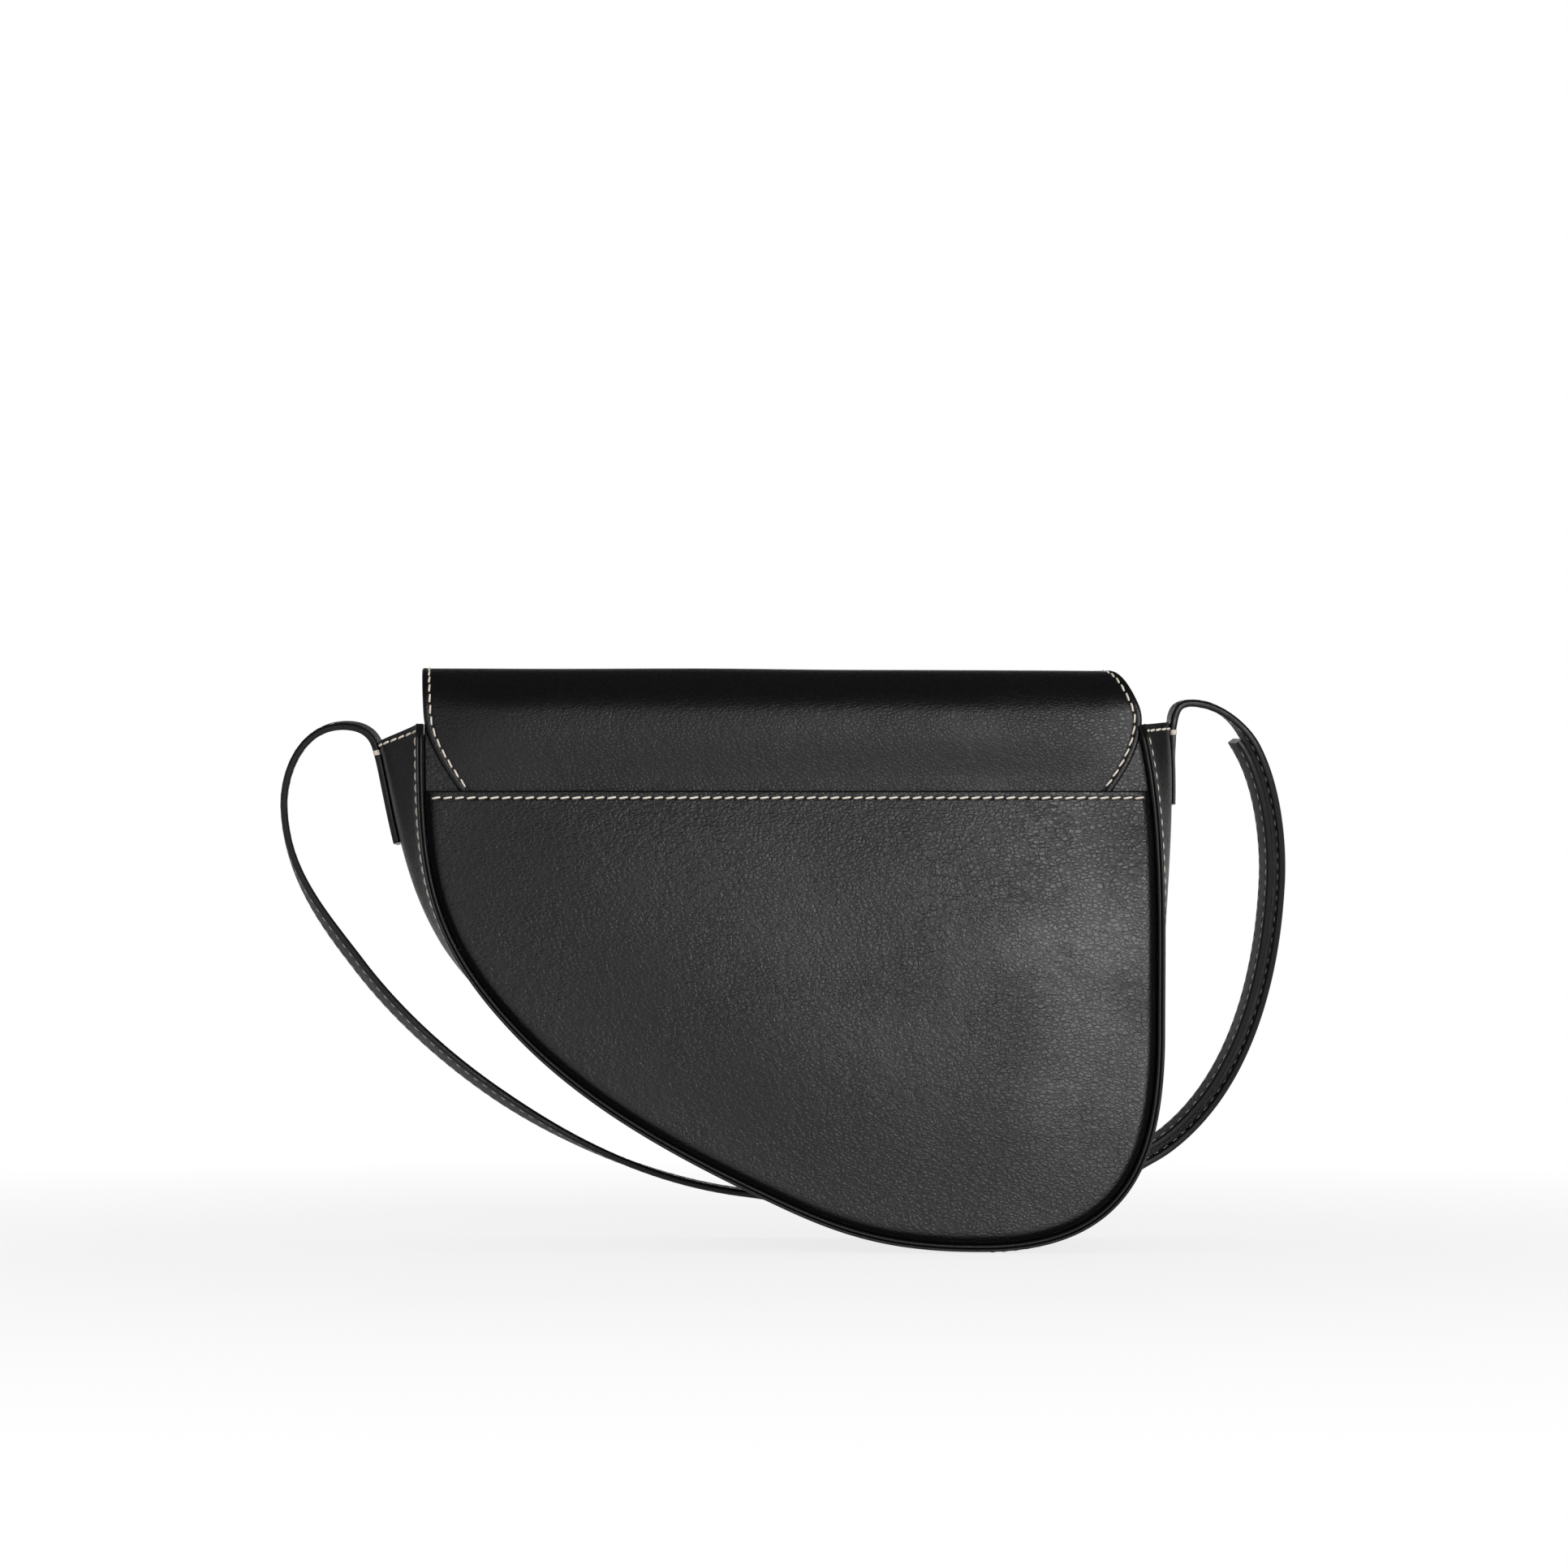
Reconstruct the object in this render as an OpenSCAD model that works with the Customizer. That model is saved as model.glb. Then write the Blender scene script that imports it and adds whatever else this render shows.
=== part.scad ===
// Saddle handbag: a lopsided pouch with a fold-over flap, a slip pocket on its
// back and an adjustable strap that hangs in loops at both sides.
// X runs along the width, Y from the back of the bag to its front, Z upwards.

/* [Body] */
// Width of the back outline over its sewn rim
body_w = 268; // [230:1:330]
// Height of the back outline over its sewn rim
body_h = 189; // [160:1:230]
// Depth between the outer faces of the two panels
body_d = 60; // [48:1:75]
// Height that the sewn rims stand proud of the panels
rim_h = 6; // [5:0.5:8]
// Thickness of the panel and flap leather
leather_t = 1.3; // [1:0.1:1.8]
// Thickness of the gusset leather
gusset_t = 1.2; // [1:0.1:1.6]
// Thickness of the welt strip in each rim
welt_t = 1.2; // [1:0.1:1.6]
// Thickness of the stiffening board inside the panels
board_t = 1; // [0.8:0.1:1.4]
// Thickness of the lining cloth
lining_t = 0.6; // [0.5:0.1:0.9]
// Outward bulge of the gusset at its upper left end
bulge_left = 15.5; // [8:0.5:20]
// Outward bulge of the gusset at its upper right end
bulge_right = 10.5; // [6:0.5:16]

/* [Pockets] */
// Height of the back pocket's mouth above the bottom
pocket_mouth_h = 165; // [130:1:172]
// Width of the pocket inside
inner_pocket_w = 130; // [100:1:150]
// Height of the pocket inside
inner_pocket_h = 75; // [60:1:90]
// Width of the leather trim along the inner pocket's mouth
trim_w = 10; // [8:1:14]

/* [Flap] */
// Height of the flap above the sewn rims' upper ends
flap_rise = 21; // [18:0.5:26]
// Outer radius of the flap's two upper corners
flap_corner_r = 17; // [12:0.5:18]
// Height of the two flap hinges above the sewn rims' upper ends
hinge_rise = 3; // [2:0.5:4]
// Length of the flap's tail that is tucked behind the back pocket
tail_tuck = 7; // [4:1:12]
// Stiffening board inside the front of the flap
flap_board_t = 0.5; // [0.4:0.1:0.8]

/* [Snap] */
// Diameter of the magnetic snap's socket
socket_d = 18; // [16:1:22]
// Thickness of the socket
socket_t = 2.8; // [2.4:0.1:3.4]
// Diameter of the snap's stud
stud_d = 8; // [7:0.5:9]
// Length of the stud inside the socket
stud_reach = 1.4; // [1:0.1:1.8]

/* [Strap] */
// Width of the strap
strap_w = 20; // [16:0.5:25]
// Thickness of the strap, two layers sewn together
strap_t = 2.6; // [2:0.1:3.2]
// Length of the straight stretch that carries the buckle and the keepers
bar_len = 72; // [68:1:90]
// Wire diameter of the buckle
wire_d = 2.8; // [2.4:0.1:3.4]
// Distance between the buckle's two bars
buckle_len = 14; // [13:0.5:18]
// Diameter of the prong
prong_d = 2; // [1.6:0.1:2.4]
// Diameter of the strap's holes
hole_d = 3.4; // [3:0.1:4]
// Length of each keeper along the strap
keeper_len = 8; // [6:0.5:10]
// Wall of each keeper
keeper_t = 1.3; // [1:0.1:1.8]

/* [Hidden] */

// Clearance between layers that are sewn or glued together
seam_gap = 0.1;
// Clearance between the flap's edge and the rims beside it
flap_clear = 0.4;
// Clearance of the tail inside the back pocket, and behind the loose gusset lining
slip_gap = 0.3;
// Clearance between the strap and the rim that it passes
bar_clear = 2;
// Clearance of parts that slide or turn on each other
run_gap = 0.3;
// Clearance of a prong or stud in its hole
hole_gap = 0.2;
// Gap between the strap and its roots where the strap swings
swing_gap = 0.1;
// Overrun of every cut
over = 1;
// Steps along each curve between two knots
curve_steps = 12;

// Knots of the body outline, from the upper left end round the bottom to the upper right:
// [place in width, place in height, heading in degrees, reach before, reach after],
// where places and reaches are shares of the body's width and height
outline_shares = [
    [0, 1, -90, 0, 0.27],
    [0.135, 0.405, -46, 0.27, 0.2],
    [0.49, 0.082, -25, 0.2, 0.135],
    [0.755, 0, 0, 0.16, 0.295],
    [1, 0.42, 90, 0.235, 0.19],
    [0.974, 1, 105, 0.175, 0]];
// Knots of the flap's front edge in the same form, without its two ends
flap_edge_shares = [
    [0.165, 0.505, -39, 0.22, 0.18],
    [0.5, 0.285, -14, 0.18, 0.12],
    [0.73, 0.245, 0, 0.11, 0.2],
    [0.95, 0.53, 88, 0.17, 0.13]];
// Headings and reaches at the two ends of the flap's front edge
flap_edge_end_shares = [[-83, 0.24], [93, 0.16]];
// Knots of the strap from the top of its left loop round the front to the top of the right
// loop, in the same form; the straight bar lies between the two halves of the table
strap_left_shares = [
    [-0.107, 1.006, 180, 0, 0.084],
    [-0.1915, 0.849, -90, 0.066, 0.123],
    [-0.0955, 0.541, -54, 0.117, 0.276],
    [0.433, 0.0905, -7, 0.29, 0.12],
    [0.65, 0.066, 5, 0.12, 0]];
strap_right_shares = [
    [1.004, 0.158, 30.5, 0.07, 0.216],
    [1.171, 0.707, 90, 0.203, 0.135],
    [1.0465, 1.049, 180, 0.13, 0]];
// Heading of the straight bar of the strap
bar_heading = 5;
// Reach of the strap's curve after the straight bar, as a share of the height
bar_reach_share = 0.07;
// Place of the buckle along the straight bar
buckle_share = 0.3;
// End of the tail along the last curve of the strap
tail_end_share = 0.67;
// Upper and lower end of the sewn tabs along the outline's first and last curve
tab_left_shares = [0.03, 0.31];
tab_right_shares = [0.97, 0.72];
// Heading and reach of the strap as it leaves its tabs
root_left_shares = [100, 0.036, 0.034];
root_right_shares = [84, 0.04, 0.032];
// Height at which the gusset's bulge starts, left and right, and how fast it grows
bulge_start_shares = [0.4, 0.32];
bulge_powers = [1.3, 2];
// Rows of points across the gusset, as shares of the half depth
gusset_row_shares = [1, 0.84, 0.7, 0.56, 0.37];
// Dip of the gusset's upper edge at mid depth, as a share of its bulge
dip_left_share = 0.35;
dip_right_share = 0.1;
// Inward shift of the flap's right edge at the very top
flap_top_right_share = 0.036;
// Knots of the tail's lower corners, as shares of the width and of the tail's drop
tail_left_shares = [[0.002, 0.2], [0.018, 0.45], [0.044, 0.75], [0.066, 1]];
tail_right_shares = [[0.056, 1], [0.03, 0.75], [0.009, 0.45], [0.001, 0.2]];
// Place of the snap on the front panel
snap_share = [0.55, 0.45];
// Place of the inner pocket on the back lining
inner_pocket_share = [0.52, 0.38];
// Pitch of the strap's holes
hole_pitch = 25;
// Width of the slot that the prong swings in
slot_l = 12;
// Gap between the tail and the strap below it
tail_gap = 1.9;
// Socket's neck and the washers behind the snap halves
neck_d = 3.4;
washer_d = 13;
washer_t = 0.8;
stud_washer_d = 11;
// Height of the buckle's two arms
arm_h = 3.4;

half_d = body_d / 2;
rim_y = half_d + rim_h;
tail_in = half_d + seam_gap;
tail_out = tail_in + leather_t;
pocket_in = tail_out + slip_gap;
flap_in = half_d + socket_t + slip_gap;
flap_board_in = flap_in + lining_t + seam_gap;
flap_leather_in = flap_board_in + flap_board_t + seam_gap;
flap_out = flap_leather_in + leather_t;
board_out = half_d - leather_t - seam_gap;
lining_out = board_out - board_t - seam_gap;
lining_in = lining_out - lining_t;
panel_inset = gusset_t + seam_gap;
band_inset = panel_inset + slip_gap;
pocket_inset = panel_inset + welt_t + seam_gap;
flap_inset = pocket_inset + flap_clear;
hinge_z = body_h + hinge_rise;
flap_top = body_h + flap_rise;
flap_left = flap_inset;
flap_right = outline_shares[5][0] * body_w - flap_inset;
flat_half = strap_w / 2 + over;
bar_y = rim_y + strap_w / 2 + bar_clear;
wire_r = wire_d / 2;
eye_r = wire_r + seam_gap + strap_t / 2;
frame_half = strap_w / 2 + run_gap + wire_d;
bar_start = knot_place(strap_left_shares[4]);
bar_dir = [cos(bar_heading), sin(bar_heading)];
bar_end = bar_start + bar_len * bar_dir;
buckle_at = bar_start + buckle_share * bar_len * bar_dir;
strap_low = strap_left_shares[3][1] * body_h;
strap_rise = strap_right_shares[0][1] * body_h;
strap_left_top = strap_left_shares[0][1] * body_h;
strap_right_top = strap_right_shares[2][1] * body_h;
loop_left = knot_place(strap_left_shares[0]);
loop_right = knot_place(strap_right_shares[2]);
swing_dir = unit([loop_right[0] - loop_left[0], 0, loop_right[1] - loop_left[1]]);
x_low = strap_left_shares[1][0] * body_w - strap_t / 2;
x_high = strap_right_shares[1][0] * body_w + strap_t / 2;
y_high = bar_y + frame_half;
origin = [-(x_low + x_high) / 2, -(y_high - rim_y) / 2, 0];

// Point and slope on the curve between two knots
function knot_place(k) = [k[0] * body_w, k[1] * body_h];
function reach(angle, share) = share * body_h * [cos(angle), sin(angle)];
function curve_ends(a, b) = let (p = knot_place(a), q = knot_place(b))
    [p, p + reach(a[2], a[4]), q - reach(b[2], b[3]), q];
function curve_at(c, t) = pow(1 - t, 3) * c[0] + 3 * pow(1 - t, 2) * t * c[1]
    + 3 * (1 - t) * t * t * c[2] + pow(t, 3) * c[3];
function slope_at(c, t) = unit(pow(1 - t, 2) * (c[1] - c[0])
    + 2 * (1 - t) * t * (c[2] - c[1]) + t * t * (c[3] - c[2]));
function unit(v) = v / norm(v);
function clamp(v) = min(1, max(0, v));
function smooth(v) = let (s = clamp(v)) s * s * (3 - 2 * s);
function reversed(list) = [for (i = [len(list) - 1:-1:0]) list[i]];

// Curves through a whole table of knots, as [point, slope] pairs
function curve_pairs(c, from = 0, to = 1, n = curve_steps) =
    [for (i = [0:n]) let (t = from + (to - from) * i / n) [curve_at(c, t), slope_at(c, t)]];
function tail_of(list) = [for (i = [1:len(list) - 1]) list[i]];
function chain(curves, k = 0) = k == len(curves) - 1 ? curve_pairs(curves[k])
    : concat(curve_pairs(curves[k]), tail_of(chain(curves, k + 1)));
function knot_curves(knots) = [for (i = [0:len(knots) - 2]) curve_ends(knots[i], knots[i + 1])];

// The body outline, moved inwards by an inset
outline_curves = knot_curves(outline_shares);
outline_pairs = chain(outline_curves);
function outward(pair) = [pair[1][1], -pair[1][0]];
function outline(inset) = [for (p = outline_pairs) p[0] - inset * outward(p)];

// Swell of the gusset at a point of the outline and a depth
function side_swell(place) = let (
        side = place[0] < body_w / 2 ? 0 : 1,
        start = bulge_start_shares[side] * body_h,
        grown = pow(clamp((place[1] - start) / (body_h - start)), bulge_powers[side]))
    [(side == 0 ? bulge_left : bulge_right) * grown, side == 0 ? dip_left_share : dip_right_share, grown];
function depth_share(y) = abs(y) <= flat_half ? 1 : abs(y) >= half_d ? 0
    : (1 + cos(180 * (abs(y) - flat_half) / (half_d - flat_half))) / 2;
function gusset_point(pair, y, inset) = let (
        swell = side_swell(pair[0]),
        out = swell[0] * depth_share(y) - inset,
        dip = swell[0] * swell[1] * pow(swell[2], 6) * depth_share(y))
    [pair[0][0] + out * outward(pair)[0], y, pair[0][1] + out * outward(pair)[1] - dip];
function row_depths(half) = let (near = [for (s = gusset_row_shares) if (s * half_d < half) s * half_d])
    concat([-half], -1 * near, reversed(near), [half]);
function band_ring(pair, half, outer, inner) = let (rows = row_depths(half))
    concat([for (y = rows) gusset_point(pair, y, outer)],
        [for (y = reversed(rows)) gusset_point(pair, y, inner)]);

// Closed surface over a row of rings that all hold the same even number of points
module skin(rings) {
    k = len(rings[0]);
    last = (len(rings) - 1) * k;
    sides = [for (i = [0:len(rings) - 2], j = [0:k - 1])
        let (a = i * k + j, b = i * k + (j + 1) % k, c = b + k, d = a + k)
        each [[a, c, b], [a, d, c]]];
    ends = [for (j = [0:k / 2 - 2])
        let (a = j, b = j + 1, c = k - 2 - j, d = k - 1 - j)
        each [[a, b, c], [a, c, d], [last + a, last + c, last + b], [last + a, last + d, last + c]]];
    polyhedron([for (r = rings) each r], concat(sides, ends));
}

// Plate with an outline in X and Z that lies between two depths
module slab(points, near, far) {
    translate([0, far, 0]) rotate([90, 0, 0]) linear_extrude(far - near) polygon(points);
}

// The strap's middle line: [place, direction, normal towards the inside of its loop]
function forward_of(z, top, low) = bar_y * smooth((top - z) / (top - low));
function side_places(pairs, top, low) =
    [for (p = pairs) [p[0][0], forward_of(p[0][1], top, low), p[0][1]]];
strap_left_places = side_places(chain(knot_curves(strap_left_shares)), strap_left_top, strap_low);
bar_places = [for (i = [1:2 * curve_steps]) let (p = bar_start + (bar_len * i / (2 * curve_steps)) * bar_dir)
    [p[0], bar_y, p[1]]];
bar_curve = let (q = strap_right_shares[0])
    [bar_end, bar_end + reach(bar_heading, bar_reach_share),
        knot_place(q) - reach(q[2], q[3]), knot_place(q)];
right_curves = knot_curves(strap_right_shares);
strap_right_places = side_places(concat(tail_of(curve_pairs(bar_curve)),
    tail_of(chain(right_curves))), strap_right_top, strap_rise);
strap_tail_places = side_places(concat(tail_of(curve_pairs(bar_curve)), tail_of(curve_pairs(right_curves[0])),
    tail_of(curve_pairs(right_curves[1], 0, tail_end_share))), strap_right_top, strap_rise);

function direction(places, i) = unit(places[min(i + 1, len(places) - 1)] - places[max(i - 1, 0)]);
function inward(d) = unit([-d[2], 0, d[0]]);
function ribbon_ring(place, d, thick, wide, lift) = let (n = inward(d), w = cross(n, d), c = place + lift * n)
    [c - n * thick / 2 - w * wide / 2, c - n * thick / 2 + w * wide / 2,
        c + n * thick / 2 + w * wide / 2, c + n * thick / 2 - w * wide / 2];
// Lift of the long strap out of the strap's line, by its distance past the buckle's bar
function bar_distance(place) = (place[0] - buckle_at[0]) / bar_dir[0];
lift_high = eye_r + hole_gap + strap_t / 2;
lift_tail = strap_t + tail_gap;
function lift_at(place) = let (s = bar_distance(place))
    s < 0 ? lift_high * smooth((s + buckle_len - over) / (buckle_len - over - 2 * over))
        : lift_high + (lift_tail - lift_high) * smooth((s - 3 * over) / buckle_len);
// Directions stay level with the loops' tops at both ends, where the strap swings
function ribbon_rings(places, thick, wide, first, last, lifted) = [for (i = [0:len(places) - 1])
    let (d = i == 0 && first != undef ? first : i == len(places) - 1 && last != undef ? last
            : direction(places, i))
    ribbon_ring(places[i], d, thick, wide, lifted ? lift_at(places[i]) : 0)];

// Sewn tab on the gusset and the strap's root up to the top of its loop
function tab_places(c, ends, out) = [for (i = [0:curve_steps])
    let (t = ends[1] + (ends[0] - ends[1]) * i / curve_steps)
    gusset_point([curve_at(c, t), slope_at(c, t)], 0, -out)];
function root_places(start, heading, away, back, top, side, top_heading) =
    let (p = [start[0], start[2]], q = top - side * swing_gap * [swing_dir[0], swing_dir[2]],
        c = [p, p + reach(heading, away), q - reach(top_heading, back), q])
    [for (pair = tail_of(curve_pairs(c))) [pair[0][0], 0, pair[0][1]]];
tab_out = strap_t / 2 + seam_gap + hole_gap;
left_tab = tab_places(outline_curves[0], tab_left_shares, tab_out);
right_tab = tab_places(outline_curves[4], tab_right_shares, tab_out);
left_root = root_places(left_tab[curve_steps], root_left_shares[0], root_left_shares[1],
    root_left_shares[2], loop_left, -1, 180);
right_root = root_places(right_tab[curve_steps], root_right_shares[0], root_right_shares[1],
    root_right_shares[2], loop_right, 1, 0);

// The flap: its front outline, its tail and the side edges of its crown
function flap_outline() = let (
        a = [flap_left, hinge_z], b = [flap_right, hinge_z], k = flap_edge_shares, e = flap_edge_end_shares,
        first = [a, a + reach(e[0][0], e[0][1]), knot_place(k[0]) - reach(k[0][2], k[0][3]), knot_place(k[0])],
        last = [knot_place(k[3]), knot_place(k[3]) + reach(k[3][2], k[3][4]), b - reach(e[1][0], e[1][1]), b],
        pairs = chain(concat([first], knot_curves(k), [last])))
    [for (p = pairs) p[0]];
tail_drop = hinge_z - pocket_mouth_h;
function tail_outline() = concat([[flap_left, hinge_z]],
    [for (s = tail_left_shares) [flap_left + s[0] * body_w, hinge_z - s[1] * (tail_drop + tail_tuck)]],
    [for (s = tail_right_shares) [flap_right - s[0] * body_w, hinge_z - s[1] * (tail_drop + tail_tuck)]],
    [[flap_right, hinge_z]]);
function crown_outline() = let (rise = flap_top - hinge_z, shift = flap_top_right_share * body_w)
    concat([[flap_left, hinge_z]],
        [for (i = [0:curve_steps]) let (t = i / curve_steps)
            [flap_right - shift * (1 - cos(90 * t)), hinge_z + rise * sin(90 * t)]],
        [[flap_left, flap_top]]);
// Arch over the top, between an outer and an inner surface
module arch(inset, thick) {
    arch_w = tail_out + flap_out;
    intersection() {
        translate([0, -tail_out, hinge_z]) rotate([90, 0, 90]) linear_extrude(body_w) difference() {
            arch_2d(arch_w, inset);
            arch_2d(arch_w, inset + thick);
        }
        slab(crown_outline(), -rim_y - over, rim_y + over);
    }
}
module arch_2d(arch_w, inset) {
    r = flap_corner_r - inset;
    straight = flap_top - hinge_z - flap_corner_r;
    translate([inset, 0]) square([arch_w - 2 * inset, straight]);
    translate([inset + r, 0]) square([arch_w - 2 * inset - 2 * r, straight + r]);
    for (x = [inset + r, arch_w - inset - r]) intersection() {
        translate([x, straight]) circle(r, $fn = 96);
        translate([inset, 0]) square([arch_w, flap_top]);
    }
}

// Place of the buckle, with its own X along the strap and its own Z to the inside
module at_bar(along) {
    p = buckle_at + along * bar_dir;
    translate([p[0], bar_y, p[1]]) rotate([0, -bar_heading, 0]) children();
}
module cross_rod(r, half) {
    rotate([90, 0, 0]) cylinder(r = r, h = 2 * half, center = true, $fn = 48);
}
module hole_cut() {
    cylinder(d = hole_d, h = 2 * (lift_tail + strap_t), center = true, $fn = 32);
}
module placed() {
    translate(origin) children();
}
module board_hole(d, near, far) {
    p = [snap_share[0] * body_w, snap_share[1] * body_h];
    translate([p[0], near, p[1]]) rotate([-90, 0, 0]) cylinder(d = d, h = far - near, $fn = 48);
}

leather_colour = "#26262a";
edge_colour = "#1a1a1c";
lining_colour = "#6b5b4a";
board_colour = "#b9a27c";
metal_colour = "#c9a45c";

// Leather of the back, a flat plate inside the rear welt
module back_panel() {
    color(leather_colour) placed() slab(outline(pocket_inset), -half_d, -half_d + leather_t);
}
// Slip pocket sewn over the back, open along its straight upper mouth
module back_pocket() {
    color(leather_colour) placed() intersection() {
        slab(outline(pocket_inset), -pocket_in - leather_t, -pocket_in);
        translate([0, -rim_y - over, -over]) cube([body_w, body_d, pocket_mouth_h + over]);
    }
}
// Leather of the front, with the hole for the snap's neck
module front_panel() {
    color(leather_colour) placed() difference() {
        slab(outline(pocket_inset), half_d - leather_t, half_d);
        board_hole(neck_d + 2 * hole_gap, half_d - leather_t - over, half_d + over);
    }
}
// One strip round the sides and bottom, drawn out where the strap pulls on it
module gusset() {
    color(leather_colour) placed() skin([for (p = outline_pairs) band_ring(p, rim_y, 0, gusset_t)]);
}
// Strips that fill the two rims between gusset and panel
module welt(near, far) {
    slab(concat(outline(panel_inset), reversed(outline(panel_inset + welt_t))), near, far);
}
module back_welt() {
    color(edge_colour) placed() welt(-rim_y, -half_d + leather_t);
}
module front_welt() {
    color(edge_colour) placed() welt(half_d - leather_t, rim_y);
}
// Boards that keep the two panels flat
module back_board() {
    color(board_colour) placed() slab(outline(pocket_inset), -board_out, -board_out + board_t);
}
module front_board() {
    color(board_colour) placed() difference() {
        slab(outline(pocket_inset), board_out - board_t, board_out);
        board_hole(washer_d + 2 * hole_gap, board_out - board_t - over, board_out + over);
    }
}
// Cloth lining of the compartment
module back_lining() {
    color(lining_colour) placed() slab(outline(pocket_inset), -lining_out, -lining_in);
}
module front_lining() {
    color(lining_colour) placed() slab(outline(pocket_inset), lining_in, lining_out);
}
module gusset_lining() {
    color(lining_colour) placed() skin([for (p = outline_pairs)
        band_ring(p, lining_in - seam_gap, band_inset, band_inset + lining_t)]);
}
// Flat pocket on the back lining: its cloth, with turned side and bottom edges
module inner_pocket_place() {
    translate([inner_pocket_share[0] * body_w - inner_pocket_w / 2, 0, inner_pocket_share[1] * body_h])
        children();
}
module inner_pocket() {
    near = -lining_in + seam_gap;
    far = near + 2 * lining_t + slip_gap;
    color(lining_colour) placed() inner_pocket_place() difference() {
        translate([0, near, 0]) cube([inner_pocket_w, far - near, inner_pocket_h]);
        translate([trim_w / 2, near - over, trim_w / 2])
            cube([inner_pocket_w - trim_w, far - near - lining_t + over, inner_pocket_h]);
    }
}
module inner_pocket_trim() {
    near = -lining_in + seam_gap + 2 * lining_t + slip_gap + seam_gap;
    color(leather_colour) placed() inner_pocket_place()
        translate([0, near, inner_pocket_h - trim_w]) cube([inner_pocket_w, lining_t, trim_w]);
}
// Flap, rear part: sewn to the back and tucked behind the pocket
module flap_tail() {
    color(leather_colour) placed() slab(tail_outline(), -tail_out, -tail_in);
}
// Flap, upper part: arches over the mouth
module flap_crown() {
    color(leather_colour) placed() arch(0, leather_t);
}
module flap_crown_lining() {
    color(lining_colour) placed() arch(leather_t + seam_gap, lining_t);
}
// Flap, front part: leather, board and lining
module flap_front() {
    color(leather_colour) placed() slab(flap_outline(), flap_leather_in, flap_out);
}
module flap_front_board() {
    color(board_colour) placed() difference() {
        slab(flap_outline(), flap_board_in, flap_board_in + flap_board_t);
        board_hole(stud_washer_d + 2 * hole_gap, flap_board_in - over, flap_board_in + flap_board_t + over);
    }
}
module flap_front_lining() {
    color(lining_colour) placed() difference() {
        slab(flap_outline(), flap_in, flap_in + lining_t);
        board_hole(neck_d + 2 * hole_gap, flap_in - over, flap_in + lining_t + over);
    }
}
// Magnetic snap: a recessed socket on the front panel and a stud inside the flap
module snap_socket() {
    color(metal_colour) placed() difference() {
        union() {
            board_hole(socket_d, half_d, half_d + socket_t);
            board_hole(neck_d, half_d - leather_t - seam_gap, half_d + over);
        }
        board_hole(stud_d + 2 * over, half_d + socket_t - stud_reach - hole_gap, half_d + socket_t + over);
    }
}
module socket_washer() {
    color(metal_colour) placed() board_hole(washer_d, board_out - washer_t, board_out);
}
module snap_stud() {
    color(metal_colour) placed() {
        board_hole(stud_d, flap_in - slip_gap - stud_reach + hole_gap, flap_in - seam_gap);
        board_hole(neck_d, flap_in - slip_gap, flap_board_in);
    }
}
module stud_washer() {
    color(metal_colour) placed() board_hole(stud_washer_d, flap_board_in, flap_board_in + flap_board_t);
}
// Ends of the strap: a tab sewn on the gusset and its root up to the top of the loop
module strap_end(places, top) {
    skin(ribbon_rings(places, strap_t, strap_w, undef, top, false));
}
module strap_end_left() {
    color(leather_colour) placed() strap_end(concat(left_tab, left_root), -swing_dir);
}
module strap_end_right() {
    color(leather_colour) placed() strap_end(concat(right_tab, right_root), swing_dir);
}
// Hanging strap: the long part with the holes, whose tail lies on the short part
module strap_long() {
    long_places = concat(strap_left_places, bar_places, strap_tail_places);
    color(leather_colour) placed() difference() {
        skin(ribbon_rings(long_places, strap_t, strap_w, -swing_dir, undef, true));
        at_bar(-hole_pitch) hole_cut();
        at_bar(hole_pitch) hole_cut();
        at_bar(2 * hole_pitch - over) hole_cut();
        at_bar(over - slot_l / 2) translate([0, 0, lift_high / 2])
            cube([slot_l, hole_d, 2 * (lift_high + strap_t)], center = true);
    }
}
// The short part, whose end is an eye round the buckle's heel bar
module strap_short() {
    start = [[buckle_at[0], bar_y, buckle_at[1]]];
    straight = [for (p = bar_places) if (bar_distance(p) > eye_r) p];
    color(leather_colour) placed() difference() {
        union() {
            skin(ribbon_rings(concat(start, straight, strap_right_places),
                strap_t, strap_w, undef, -swing_dir, false));
            at_bar(0) cross_rod(eye_r, strap_w / 2 - seam_gap);
        }
        at_bar(0) cross_rod(wire_r + seam_gap, strap_w);
        at_bar(-over / 2) cube([2 * eye_r + over, prong_d + 2 * over, 2 * eye_r + over], center = true);
    }
}
// Buckle frame: round heel bar in the eye, round front bar on top of the long part, and two
// flat arms that join them
bar_lift = strap_t / 2 + hole_gap + wire_r;
module buckle_frame() {
    rod_half = frame_half - wire_r;
    slant = atan(bar_lift / buckle_len);
    arm = [norm([buckle_len, bar_lift]) + arm_h, wire_d, arm_h];
    color(metal_colour) placed() at_bar(0) {
        cross_rod(wire_r, rod_half);
        translate([-buckle_len, 0, bar_lift]) cross_rod(wire_r, rod_half);
        for (side = [-1, 1]) translate([-buckle_len / 2, side * rod_half, bar_lift / 2])
            rotate([0, slant, 0]) cube(arm, center = true);
    }
}
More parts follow.
